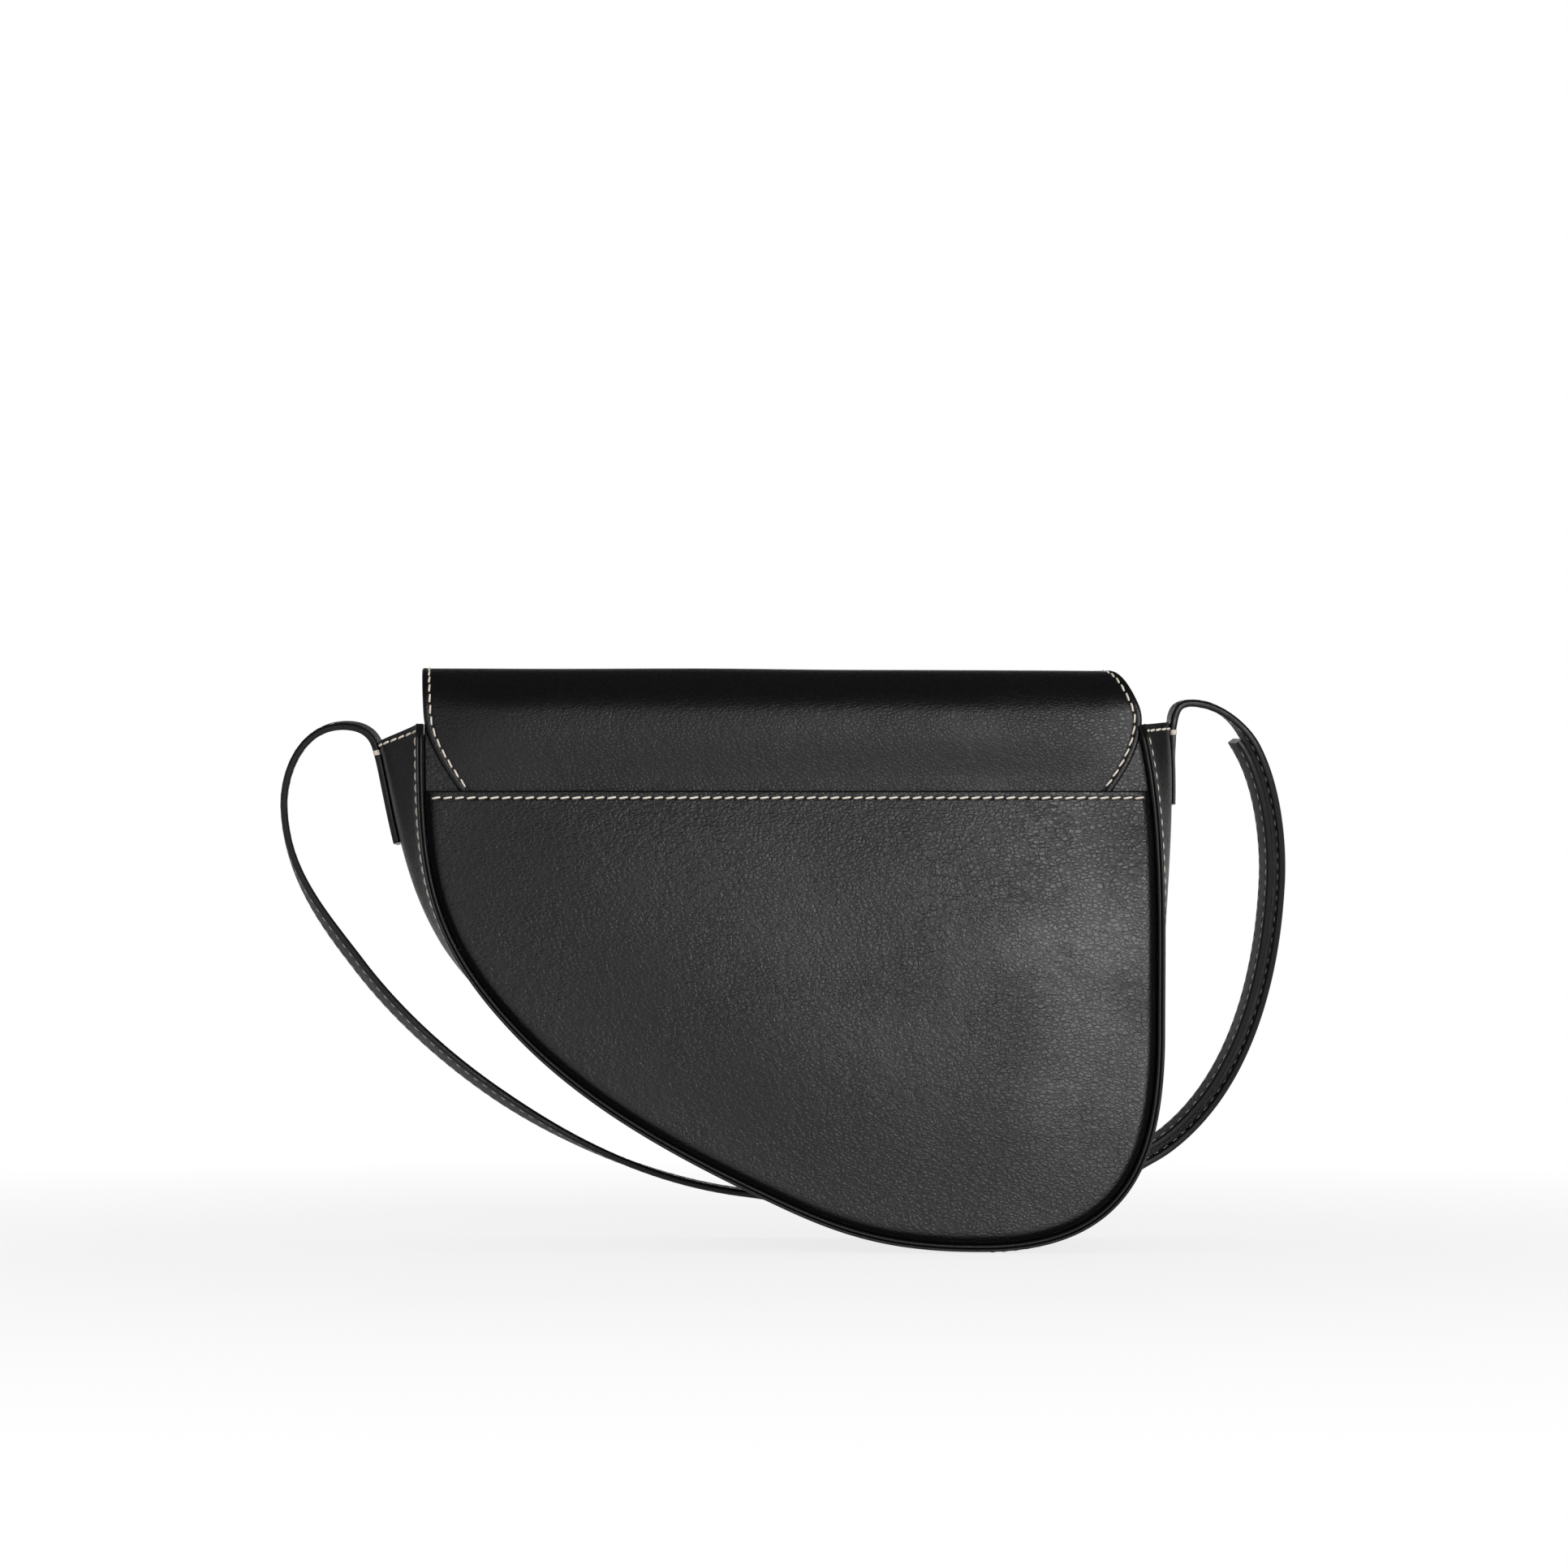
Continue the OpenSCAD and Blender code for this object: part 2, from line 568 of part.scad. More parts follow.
// Prong: an eye on the heel bar and a shaft that rests on the front bar
module buckle_prong() {
    prong_r = prong_d / 2;
    base = [-prong_r, wire_r + seam_gap + prong_r / 2];
    rest_z = bar_lift + wire_r + hole_gap / 2 + prong_r;
    slant = atan((rest_z - base[1]) / (buckle_len + base[0]));
    shaft = (buckle_len + 2 * over) / cos(slant);
    color(metal_colour) placed() at_bar(0) difference() {
        union() {
            cross_rod(eye_r - hole_gap, prong_r);
            translate([base[0], 0, base[1]]) rotate([0, slant - 90, 0]) {
                cylinder(r = prong_r, h = shaft, $fn = 32);
                translate([0, 0, shaft]) sphere(prong_r, $fn = 32);
            }
        }
        cross_rod(wire_r + seam_gap, prong_d);
    }
}
// Loops that hold the tail: one sewn fast beside the buckle, one that slides
module keeper(along, gap) {
    height = lift_tail + strap_t + 2 * gap;
    at_bar(along) translate([0, 0, lift_tail / 2]) difference() {
        cube([keeper_len, strap_w + 2 * gap + 2 * keeper_t, height + 2 * keeper_t], center = true);
        cube([keeper_len + over, strap_w + 2 * gap, height], center = true);
    }
}
module fixed_keeper() {
    color(leather_colour) placed() keeper(eye_r + 2 * keeper_len, run_gap);
}
module sliding_keeper() {
    color(leather_colour) placed() keeper(eye_r + 4 * keeper_len, run_gap);
}

back_panel();
back_pocket();
front_panel();
gusset();
back_welt();
front_welt();
back_board();
front_board();
back_lining();
front_lining();
gusset_lining();
inner_pocket();
inner_pocket_trim();
flap_tail();
strap_end_left();
strap_end_right();
snap_socket();
socket_washer();
flap_crown();
flap_crown_lining();
flap_front();
flap_front_board();
flap_front_lining();
snap_stud();
stud_washer();
strap_long();
strap_short();
buckle_frame();
fixed_keeper();
buckle_prong();
sliding_keeper();
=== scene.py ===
# %% [markdown]
# # A saddle handbag, seen from behind
# The bag is a lopsided pouch of black leather. A back and a front panel are joined by one long
# gusset, and their edges stand outwards as two rims. One piece of leather runs from behind the
# slip pocket over the top and down the front: the flap. A strap hangs in a loop at each side.
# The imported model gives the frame, and each visible piece is made here as a surface worked out
# with numpy, so that its shape follows from a few sizes in millimetres.

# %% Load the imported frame
import math

import bmesh
import bpy
import numpy as np
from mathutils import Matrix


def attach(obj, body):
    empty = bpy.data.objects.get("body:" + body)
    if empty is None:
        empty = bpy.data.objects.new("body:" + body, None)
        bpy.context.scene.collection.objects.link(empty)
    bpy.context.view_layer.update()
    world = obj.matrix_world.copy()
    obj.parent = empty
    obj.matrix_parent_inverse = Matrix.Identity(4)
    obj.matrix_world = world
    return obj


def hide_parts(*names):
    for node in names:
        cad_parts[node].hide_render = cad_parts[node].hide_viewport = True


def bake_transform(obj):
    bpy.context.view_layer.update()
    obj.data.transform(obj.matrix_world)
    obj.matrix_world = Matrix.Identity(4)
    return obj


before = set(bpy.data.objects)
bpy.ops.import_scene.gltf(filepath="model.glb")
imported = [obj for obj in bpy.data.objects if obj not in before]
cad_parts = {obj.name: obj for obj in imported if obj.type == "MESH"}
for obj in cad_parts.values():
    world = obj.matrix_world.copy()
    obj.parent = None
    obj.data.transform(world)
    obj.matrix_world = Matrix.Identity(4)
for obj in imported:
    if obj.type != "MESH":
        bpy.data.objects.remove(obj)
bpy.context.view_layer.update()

# %% [markdown]
# ## Sizes
# Every size of the pouch is in millimetres, in the bag's own coordinates: X from the left end
# of the rim, Y from the middle of the depth (negative at the back), Z upwards. One vector moves
# a point to the frame, and one factor turns millimetres into metres.

# %% Sizes of the bag in millimetres
MM = 0.001
ORIGIN = np.array([-131.253, -12.55, 0.0])
BODY_W = 268.0
BODY_H = 189.0
HALF_D = 30.0
RIM_Y = 36.0
LEATHER = 1.3
GUSSET = 1.2
WELT = 1.2
LINING = 0.6
SEAM_GAP = 0.1
PANEL_INSET = GUSSET + WELT + 2 * SEAM_GAP
MOUTH_Z = 165.0
STRAP_W = 20.0
STRAP_T = 2.6
HINGE_Z = 192.0
FLAP_TOP = 210.0
CORNER_R = 17.0
FLAP_BACK_Y = 31.4
FLAP_FRONT_Y = 35.7
FLAP_LEFT = 3.0
FLAP_RIGHT = 258.03
STITCH_PITCH = 4.2
STITCH_LONG = 3.65
THREAD = 0.8

# %% [markdown]
# ## Curves
# A pattern cutter draws such an outline with a few knots and a curve between them. The knots
# here are shares of the bag's width and height with a heading, and between two knots lies a
# cubic Bezier curve. A curve is then measured out evenly, as a tape would, because stitches
# and edges need even steps.

# %% Curves through knots
def reach(heading, share):
    """Vector of that share of the bag's height along a heading in degrees."""
    angle = np.radians(heading)
    return share * BODY_H * np.array([np.cos(angle), np.sin(angle)])


def bezier(a, b, c, d, steps):
    """(1-t)^3 a + 3(1-t)^2 t b + 3(1-t)t^2 c + t^3 d, for t in even steps from 0 to 1."""
    t = np.linspace(0, 1, steps)[:, None]
    return (1 - t) ** 3 * a + 3 * (1 - t) ** 2 * t * b + 3 * (1 - t) * t**2 * c + t**3 * d


def knot(k):
    """Place of a knot, from its shares of the width and the height."""
    return np.array([k[0] * BODY_W, k[1] * BODY_H])


def through(knots, steps=80):
    """One curve through knots of [width share, height share, heading, reach before, after]."""
    parts = [
        bezier(knot(a), knot(a) + reach(a[2], a[4]), knot(b) - reach(b[2], b[3]), knot(b), steps)[:-1]
        for a, b in zip(knots, knots[1:])
    ]
    return np.vstack(parts + [knot(knots[-1])[None]])


def tape(path):
    """Distance along a path at each of its points."""
    steps = np.linalg.norm(np.diff(path, axis=0), axis=1)
    return np.concatenate([[0.0], np.cumsum(steps)])


def read_off(path, values, places):
    """Values that belong to a path's points, read off at distances along it."""
    run = tape(path)
    return np.stack([np.interp(places, run, column) for column in values.T], axis=-1)


def evenly(path, count):
    """The path again, as that many points at even distances."""
    return read_off(path, path, np.linspace(0, tape(path)[-1], count))


def unit(v):
    """Vectors of length 1."""
    return v / np.maximum(np.linalg.norm(v, axis=-1, keepdims=True), 1e-12)


def smooth(t):
    """0 below 0, 1 above 1, and 3t^2 - 2t^3 between."""
    t = np.clip(t, 0, 1)
    return t * t * (3 - 2 * t)


def right_of(path):
    """Unit vectors to the right of a flat path's direction."""
    way = unit(np.gradient(path, axis=0))
    return np.stack([way[:, 1], -way[:, 0]], axis=-1)


# %% The outline of the panels
OUTLINE_KNOTS = [
    [0, 1, -90, 0, 0.27],
    [0.135, 0.405, -46, 0.27, 0.2],
    [0.49, 0.082, -25, 0.2, 0.135],
    [0.755, 0, 0, 0.16, 0.295],
    [1, 0.42, 90, 0.235, 0.19],
    [0.974, 1, 105, 0.175, 0],
]
OUTLINE = evenly(through(OUTLINE_KNOTS), 620)
OUTWARD = right_of(OUTLINE)
BEYOND = 8.0
LONG_OUTLINE = np.vstack(
    [OUTLINE[0] - [[0, -BEYOND]], OUTLINE, OUTLINE[-1] + BEYOND * unit(OUTLINE[-1] - OUTLINE[-2])]
)
LONG_OUTWARD = np.vstack([OUTWARD[0], OUTWARD, OUTWARD[-1]])
print("outline:", round(tape(OUTLINE)[-1], 1), "mm round the sides and bottom")


# %% [markdown]
# ## Closed surfaces from grids of points
# A piece of leather is a closed body: an outer side, an inner side and a rounded edge between
# them. Each is computed as a grid of points. A strap or the gusset is a cross-section carried
# along a path. A panel is a set of rings that run from the middle of its outer side over the
# edge to the middle of its inner side. The flap's halves are such rings too, open along the
# line over the top where the two halves meet.

# %% Faces of a grid
SHARP_ANGLE = math.radians(50)


def grid_faces(rows, cols, wrap_cols=True, wrap_rows=False):
    """Four-sided faces between the neighbours of a grid that is numbered row by row."""
    i = np.arange(rows if wrap_rows else rows - 1)[:, None]
    j = np.arange(cols if wrap_cols else cols - 1)[None, :]
    here, there = i * cols, ((i + 1) % rows) * cols
    after = (j + 1) % cols
    return np.stack([here + j, here + after, there + after, there + j], axis=-1)


def lid(line):
    """Faces that close a loop of an even number of points by joining its two halves."""
    n = len(line)
    j = np.arange(n // 2 - 1)
    return np.stack([line[j], line[j + 1], line[n - 2 - j], line[n - 1 - j]], axis=-1)


def solid(name, points, groups, materials, lay=None):
    """A mesh object from points in millimetres and groups of (faces, material number).
    Its faces are turned outwards. lay holds each point's place on the flat material in mm."""
    mesh = bpy.data.meshes.new(name)
    placed = (points.reshape(-1, 3) + ORIGIN) * MM
    faces = [face for group, _ in groups for face in group.tolist()]
    marks = np.concatenate([np.full(len(group), mark) for group, mark in groups])
    mesh.from_pydata(placed.tolist(), [], faces)
    mesh.polygons.foreach_set("material_index", marks.astype(np.int32))
    mesh.polygons.foreach_set("use_smooth", np.ones(len(faces), bool))
    if lay is not None:
        lay_field = mesh.attributes.new("lay", "FLOAT_VECTOR", "POINT")
        lay_field.data.foreach_set("vector", lay.reshape(-1).astype(np.float32))
    work = bmesh.new()
    work.from_mesh(mesh)
    bmesh.ops.recalc_face_normals(work, faces=work.faces)
    work.to_mesh(mesh)
    work.free()
    mesh.set_sharp_from_angle(angle=SHARP_ANGLE)
    for material in materials:
        mesh.materials.append(material)
    made = bpy.data.objects.new(name, mesh)
    bpy.context.scene.collection.objects.link(made)
    size = np.ptp(placed, axis=0) / MM
    print(f"{name}: {len(faces)} faces, {size[0]:.1f} x {size[1]:.1f} x {size[2]:.1f} mm")
    return made


def belongs(piece, body, slot, *nodes):
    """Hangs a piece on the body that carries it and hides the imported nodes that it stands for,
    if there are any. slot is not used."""
    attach(piece, body)
    if nodes:
        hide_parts(*nodes)


def band(name, points, marks, materials, lay=None):
    """Body of a cross-section (an even number of points) carried along a path, closed by lids.
    marks gives the material number of each face round the section."""
    rows, cols = points.shape[:2]
    sides = grid_faces(rows, cols)
    number = np.arange(rows * cols).reshape(rows, cols)
    groups = [(sides[:, marks == mark].reshape(-1, 4), mark) for mark in np.unique(marks)]
    return solid(name, points, groups + [(lid(number[k]), 1) for k in (0, -1)], materials, lay)


def hoop(name, points, marks, materials):
    """Body of a closed cross-section carried round a closed path."""
    sides = grid_faces(*points.shape[:2], wrap_rows=True)
    groups = [(sides[:, marks == mark].reshape(-1, 4), mark) for mark in np.unique(marks)]
    return solid(name, points, groups, materials)


def plate(name, points, edge_rows, materials, lay=None):
    """Body of closed rings whose first and last ring close in a pole."""
    rows, cols = points.shape[:2]
    sides = grid_faces(rows, cols)
    is_edge = np.isin(np.arange(rows - 1), edge_rows)
    number = np.arange(rows * cols).reshape(rows, cols)
    poles = points[[0, -1]].mean(axis=1)
    fans = [
        np.stack([ring, np.roll(ring, -1), np.full(cols, rows * cols + k)], axis=-1)
        for k, ring in enumerate(number[[0, -1]])
    ]
    groups = [
        (sides[~is_edge].reshape(-1, 4), 0),
        (sides[is_edge].reshape(-1, 4), 1),
        (fans[0], 0),
        (fans[1], 0),
    ]
    if lay is not None:
        lay = np.vstack([lay.reshape(-1, 3), lay[[0, -1]].mean(axis=1)])
    return solid(name, np.vstack([points.reshape(-1, 3), poles]), groups, materials, lay)


def half_flap(name, points, edge_rows, materials, lay=None):
    """Body of rings that are open at both ends, where they lie on a straight cut."""
    rows, cols = points.shape[:2]
    sides = grid_faces(rows, cols, wrap_cols=False)
    is_edge = np.isin(np.arange(rows - 1), edge_rows)
    number = np.arange(rows * cols).reshape(rows, cols)
    middle = number[[0, 0, -1, -1], [0, -1, -1, 0]][None]
    cuts = [lid(number[0]), lid(number[-1]), lid(number[:, 0]), lid(number[:, -1]), middle]
    groups = [(sides[~is_edge].reshape(-1, 4), 0), (sides[is_edge].reshape(-1, 4), 1)]
    return solid(name, points, groups + [(cut, 0) for cut in cuts], materials, lay)


# %% Cross-sections and rings
EDGE_ANGLES = np.radians([75, 45, 15, -15, -45, -75])
EDGE_SHARE = 0.45
GLUE_ANGLE = 0.4
FAR_INSIDE = 99.0


def strip_section(half, across, thick, notch=0.0):
    """Closed cross-section of a strip: its outer side, one rounded edge, its inner side and the
    other edge. Returns each point's place across and its layer, 0 outside and 1 inside.
    The edge is half an ellipse, and a notch marks the glue line between two layers."""
    r = EDGE_SHARE * thick
    side = np.asarray(across, float)
    turn = half - r + r * np.cos(EDGE_ANGLES) - notch * (np.abs(EDGE_ANGLES) < GLUE_ANGLE)
    layer = (1 - np.sin(EDGE_ANGLES)) / 2
    places = np.concatenate([side, turn, side[::-1], -turn[::-1]])
    layers = np.concatenate([np.zeros(len(side)), layer, np.ones(len(side)), layer[::-1]])
    edge = len(EDGE_ANGLES) // 2
    return np.roll(places, edge), np.roll(layers, edge)


def section_marks(layers, inner=0):
    """Material number of each face round a cross-section: 0 outside, 1 on the edges, and the
    given number inside."""
    after = np.roll(layers, -1)
    edge = ((layers > 0) & (layers < 1)) | ((after > 0) & (after < 1))
    return np.where(edge, 1, np.where(layers > 0.5, inner, 0))


def sheet_rings(loop_at, core, insets, shares, thick):
    """Rings of a sheet of leather, from the middle of its outer side over the rounded edge to
    the middle of its inner side. Near the edge each ring is the edge moved inwards, further in
    the rings are drawn towards the core by each share. Returns places, layers and insets."""
    r = EDGE_SHARE * thick
    near = np.stack([loop_at(r + d) for d in insets])
    far = core + (near[-1] - core) * (1 - np.asarray(shares))[:, None, None]
    face = np.concatenate([near, far])
    turn = np.stack([loop_at(r - r * np.cos(a)) for a in EDGE_ANGLES])
    depth = np.concatenate([r + np.asarray(insets), np.full(len(shares), FAR_INSIDE)])
    places = np.concatenate([face[::-1], turn, face])
    layers = np.concatenate([np.zeros(len(face)), (1 - np.sin(EDGE_ANGLES)) / 2, np.ones(len(face))])
    inset = np.concatenate([depth[::-1], r - r * np.cos(EDGE_ANGLES), depth])
    edge_rows = np.arange(len(face) - 1, len(face) + len(EDGE_ANGLES))
    return places, layers[:, None], inset[:, None], edge_rows


# %% [markdown]
# ## Stitches
# The cream thread is a bonded and waxed cord, sewn at about six stitches to the inch. Each
# stitch comes up out of one needle hole, lies proud of the leather and dives into the next, a
# little aslant as a saddle stitch does. One small bowed tube is repeated along a seam, and all
# of a seam's stitches make one mesh.

# %% One seam of stitches
STITCH_SHARES = np.array([-1, -0.78, -0.3, 0.3, 0.78, 1.0])
STITCH_LIFTS = np.array([-0.7, 0.1, 0.42, 0.42, 0.1, -0.7])
STITCH_RADII = np.array([0.35, 0.9, 1.0, 1.0, 0.9, 0.35])
STITCH_SIDES = 6


def seam_points(path, up, slant=7.0, long=STITCH_LONG, pitch=STITCH_PITCH, thread=THREAD):
    """Points of every stitch along a seam: the path read off at the stitch's stations, lifted
    along up by the thread's bow, with a circle of the thread's radius round each station."""
    run = tape(path)
    count = max(1, int((run[-1] - long) / pitch) + 1)
    first = (run[-1] - (count - 1) * pitch) / 2
    at = first + pitch * np.arange(count)[:, None] + STITCH_SHARES * long / 2
    base = read_off(path, path, at)
    lift = unit(read_off(path, up, at))
    way = unit(read_off(path, np.gradient(path, axis=0), at))
    side = unit(np.cross(lift, way))
    aside = math.tan(math.radians(slant)) * STITCH_SHARES[:, None] * long / 2
    middle = base + lift * (STITCH_LIFTS[:, None] * thread) + side * aside
    turn = np.arange(STITCH_SIDES) * 2 * np.pi / STITCH_SIDES
    radius = STITCH_RADII[None, :, None, None] * thread / 2
    ring = np.cos(turn)[:, None] * side[:, :, None] + np.sin(turn)[:, None] * lift[:, :, None]
    points = middle[:, :, None] + radius * ring
    lay = np.broadcast_to(at[:, :, None, None], points.shape[:3] + (1,))
    spin = np.broadcast_to(turn[None, None, :, None], points.shape[:3] + (1,))
    return points, np.concatenate([lay, spin, 0 * spin], axis=-1)


def seams(name, rows):
    """One object of all the stitches of several seams."""
    points = np.concatenate([row[0] for row in rows])
    lay = np.concatenate([row[1] for row in rows])
    count, stations, sides = points.shape[:3]
    one = grid_faces(stations, sides).reshape(-1, 4)
    start = (np.arange(count) * stations * sides)[:, None, None]
    tube = (start + one).reshape(-1, 4)
    ring = np.arange(sides)[None, None]
    ends = np.concatenate([start + ring, start + ring + (stations - 1) * sides]).reshape(-1, sides)
    return solid(name, points, [(tube, 0), (ends, 0)], [thread_cream], lay)


# %% [markdown]
# ## Finishes
# Each finish is a small node tree. Colours are written as sRGB hex values and turned to linear
# by one function. Patterns are scaled from real sizes in millimetres on Object coordinates,
# which are metres in the bag's frame.

# %% Helpers for finishes
def linear(code):
    """An sRGB hex colour as linear red, green, blue and alpha."""
    parts = np.array([int(code[i : i + 2], 16) / 255 for i in (1, 3, 5)])
    bright = ((parts + 0.055) / 1.055) ** 2.4
    return tuple(np.where(parts <= 0.04045, parts / 12.92, bright)) + (1.0,)


def node(tree, kind, inputs=(), **settings):
    """Adds a shader node with its settings. Its inputs come in the order of its sockets, or in a
    dict by name or number. Each is a value, a socket, or a node whose first output is meant."""
    made = tree.nodes.new("ShaderNode" + kind)
    for key, value in settings.items():
        setattr(made, key, value)
    for key, value in inputs.items() if isinstance(inputs, dict) else enumerate(inputs):
        if isinstance(value, bpy.types.Node):
            value = value.outputs[0]
        if isinstance(value, bpy.types.NodeSocket):
            tree.links.new(value, made.inputs[key])
        else:
            made.inputs[key].default_value = value
    return made


def new_finish(name):
    """An empty material and its tree."""
    material = bpy.data.materials.new(name)
    material.use_nodes = True
    material.node_tree.nodes.clear()
    return material, material.node_tree


def per_mm(size):
    """Texture scale that gives a pattern of that size in millimetres."""
    return 1.0 / (size * MM)


# %% [markdown]
# ### Black full-grain leather
# Aniline-dyed cow leather with a thin clear top coat: the pebble of the skin shows as cells
# with fine valleys, and soft creases run across the slacker parts. The coat gives broad soft
# highlights. The valleys are a bump from a cell pattern, bent by noise so that no row of cells
# is straight, and drawn out a little across the hide, as skin is. The real pebble is about
# 0.9 mm wide. That is too fine to show in the picture, so it is drawn at 1.1 to 1.5 mm.

# %% Black full-grain leather
BEND_SIZE = 5.0
BEND_FAR = 1.6
GRAIN_DRAWN = (0.7, 0.8, 1.2)
CREASE_DRAWN = (0.5, 0.7, 1.3)
SKIN_SLANT = (0, 0.16, 0)
VALLEY_WIDE = 0.24
FINE_SIZE = 0.5
DENT_SIZE = 7.0
SLOW_SIZE = 45.0
PATCH_SIZE = 34.0
LONG_CREASE, LONG_THIN = 13.0, 0.018
SHORT_CREASE, SHORT_THIN = 3.4, 0.06
FINE_SHARE, DENT_SHARE, SHORT_SHARE, CREASE_DEEP = 0.45, 2.0, 0.75, -1.3


def crease_lines(tree, place, size, thin):
    """1 on thin wandering lines, where a noise of that size in mm is near its middle value."""
    folds = node(tree, "TexNoise", {"Vector": place, "Scale": per_mm(size), "Detail": 5.0})
    off_middle = node(tree, "Math", (folds, 0.5), operation="SUBTRACT")
    far_off = node(tree, "Math", (off_middle,), operation="ABSOLUTE")
    return node(tree, "MapRange", (far_off, 0.0, thin, 1.0, 0.0))


def black_leather(name, colour, rough, pebble=1.5, depth=0.1, crease=1.0, shine=0.2):
    """Leather whose bump is cell valleys, deeper in some places, plus fine noise and soft dents,
    less long and short creases. The roughness follows the valleys and a slow noise."""
    material, tree = new_finish(name)
    place = node(tree, "TexCoord").outputs["Object"]
    bend = node(tree, "TexNoise", {"Vector": place, "Scale": per_mm(BEND_SIZE), "Detail": 3.0})
    bent = {0: bend.outputs["Color"], "Scale": BEND_FAR * MM}
    bent = node(tree, "VectorMath", bent, operation="SCALE")
    moved = node(tree, "VectorMath", (place, bent), operation="ADD")

    # The pebble of the skin
    drawn = node(tree, "Mapping", {"Vector": moved, "Scale": GRAIN_DRAWN, "Rotation": SKIN_SLANT})
    cells = {"Vector": drawn, "Scale": per_mm(pebble)}
    cells = node(tree, "TexVoronoi", cells, feature="DISTANCE_TO_EDGE")
    domes = (cells.outputs["Distance"], 0.0, VALLEY_WIDE)
    domes = node(tree, "MapRange", domes, interpolation_type="SMOOTHSTEP")
    fine = node(tree, "TexNoise", {"Vector": place, "Scale": per_mm(FINE_SIZE), "Detail": 2.0})
    slow = node(tree, "TexNoise", {"Vector": place, "Scale": per_mm(SLOW_SIZE), "Detail": 3.0})
    dents = node(tree, "TexNoise", {"Vector": place, "Scale": per_mm(DENT_SIZE), "Detail": 3.0})

    # Creases: long ones in some patches, short ones in the others
    long_way = node(tree, "Mapping", {"Vector": moved, "Scale": CREASE_DRAWN, "Rotation": SKIN_SLANT})
    patches = node(tree, "TexNoise", {"Vector": place, "Scale": per_mm(PATCH_SIZE), "Detail": 1.0})
    where_long = node(tree, "MapRange", (patches, 0.52, 0.6, 0.0, 0.4 * crease))
    where_short = node(tree, "MapRange", (patches, 0.6, 0.4, 0.25 * crease, 0.9 * crease))
    long_line = crease_lines(tree, long_way, LONG_CREASE, LONG_THIN)
    short_line = crease_lines(tree, long_way, SHORT_CREASE, SHORT_THIN)
    long_lines = node(tree, "Math", (long_line, where_long), operation="MULTIPLY")
    short_lines = node(tree, "Math", (short_line, where_short), operation="MULTIPLY")
    lines = node(tree, "Math", (short_lines, SHORT_SHARE, long_lines), operation="MULTIPLY_ADD")

    # All of it as one height
    grainy = node(tree, "MapRange", (slow, 0.35, 0.65, 0.35, 1.0))
    pebbles = node(tree, "Math", (domes, grainy), operation="MULTIPLY")
    skin = node(tree, "Math", (fine, FINE_SHARE, pebbles), operation="MULTIPLY_ADD")
    dented = node(tree, "Math", (dents, DENT_SHARE, skin), operation="MULTIPLY_ADD")
    height = node(tree, "Math", (lines, CREASE_DEEP, dented), operation="MULTIPLY_ADD")
    bump = node(tree, "Bump", {"Height": height, "Strength": 1.0, "Distance": depth * MM})

    # Valleys are duller, and their colour is darker as painted shade
    valley = node(tree, "MapRange", (domes, 0.0, 1.0, rough + 0.1, rough))
    drift = node(tree, "MapRange", (slow, 0.3, 0.7, -0.04, 0.04))
    gloss = node(tree, "Math", (valley, drift), operation="ADD")
    valley_painted_shade = node(tree, "Mix", {0: domes, 6: linear("#0a0a0b"), 7: linear(colour)}, data_type="RGBA")
    coat = {"Base Color": valley_painted_shade.outputs[2], "Roughness": gloss, "Normal": bump}
    shader = node(tree, "BsdfPrincipled", coat | {"Specular IOR Level": shine})
    node(tree, "OutputMaterial", (shader,))
    return material


leather_panel = black_leather("full_grain_leather_panel", "#0f0f10", 0.33, depth=0.065, shine=0.36)
leather_flap = black_leather("full_grain_leather_flap", "#111112", 0.35, 1.3, 0.06, 0.5, 0.3)
leather_smooth = black_leather("full_grain_leather_smooth", "#0f0f10", 0.36, 1.3, 0.06, 0.4, 0.16)
leather_strap = black_leather("full_grain_leather_strap", "#0a0a0b", 0.5, 1.1, 0.035, 0.2, 0.06)
leather_back = black_leather("matte_leather_strap_back", "#0c0c0d", 0.7, 1.1, 0.05, 0.2, 0.08)

# %% [markdown]
# ### Painted edges
# Cut edges are sanded and coated with several layers of black edge paint, so they are
# smooth, slightly uneven and glossier than the grain.

# %% Painted edge
PAINT_WAVE = 2.5
PAINT_DEEP = 0.12
painted_edge, edge_tree = new_finish("edge_paint_black")
edge_place = node(edge_tree, "TexCoord").outputs["Object"]
edge_waves = {"Vector": edge_place, "Scale": per_mm(PAINT_WAVE), "Detail": 3.0}
edge_waves = node(edge_tree, "TexNoise", edge_waves)
edge_bump = node(edge_tree, "Bump", {"Height": edge_waves, "Distance": PAINT_DEEP * MM})
edge_gloss = node(edge_tree, "MapRange", (edge_waves, 0.3, 0.7, 0.3, 0.42))
edge_coat = {"Base Color": linear("#101011"), "Roughness": edge_gloss, "Normal": edge_bump}
edge_shader = node(edge_tree, "BsdfPrincipled", edge_coat | {"Specular IOR Level": 0.25})
node(edge_tree, "OutputMaterial", (edge_shader,))
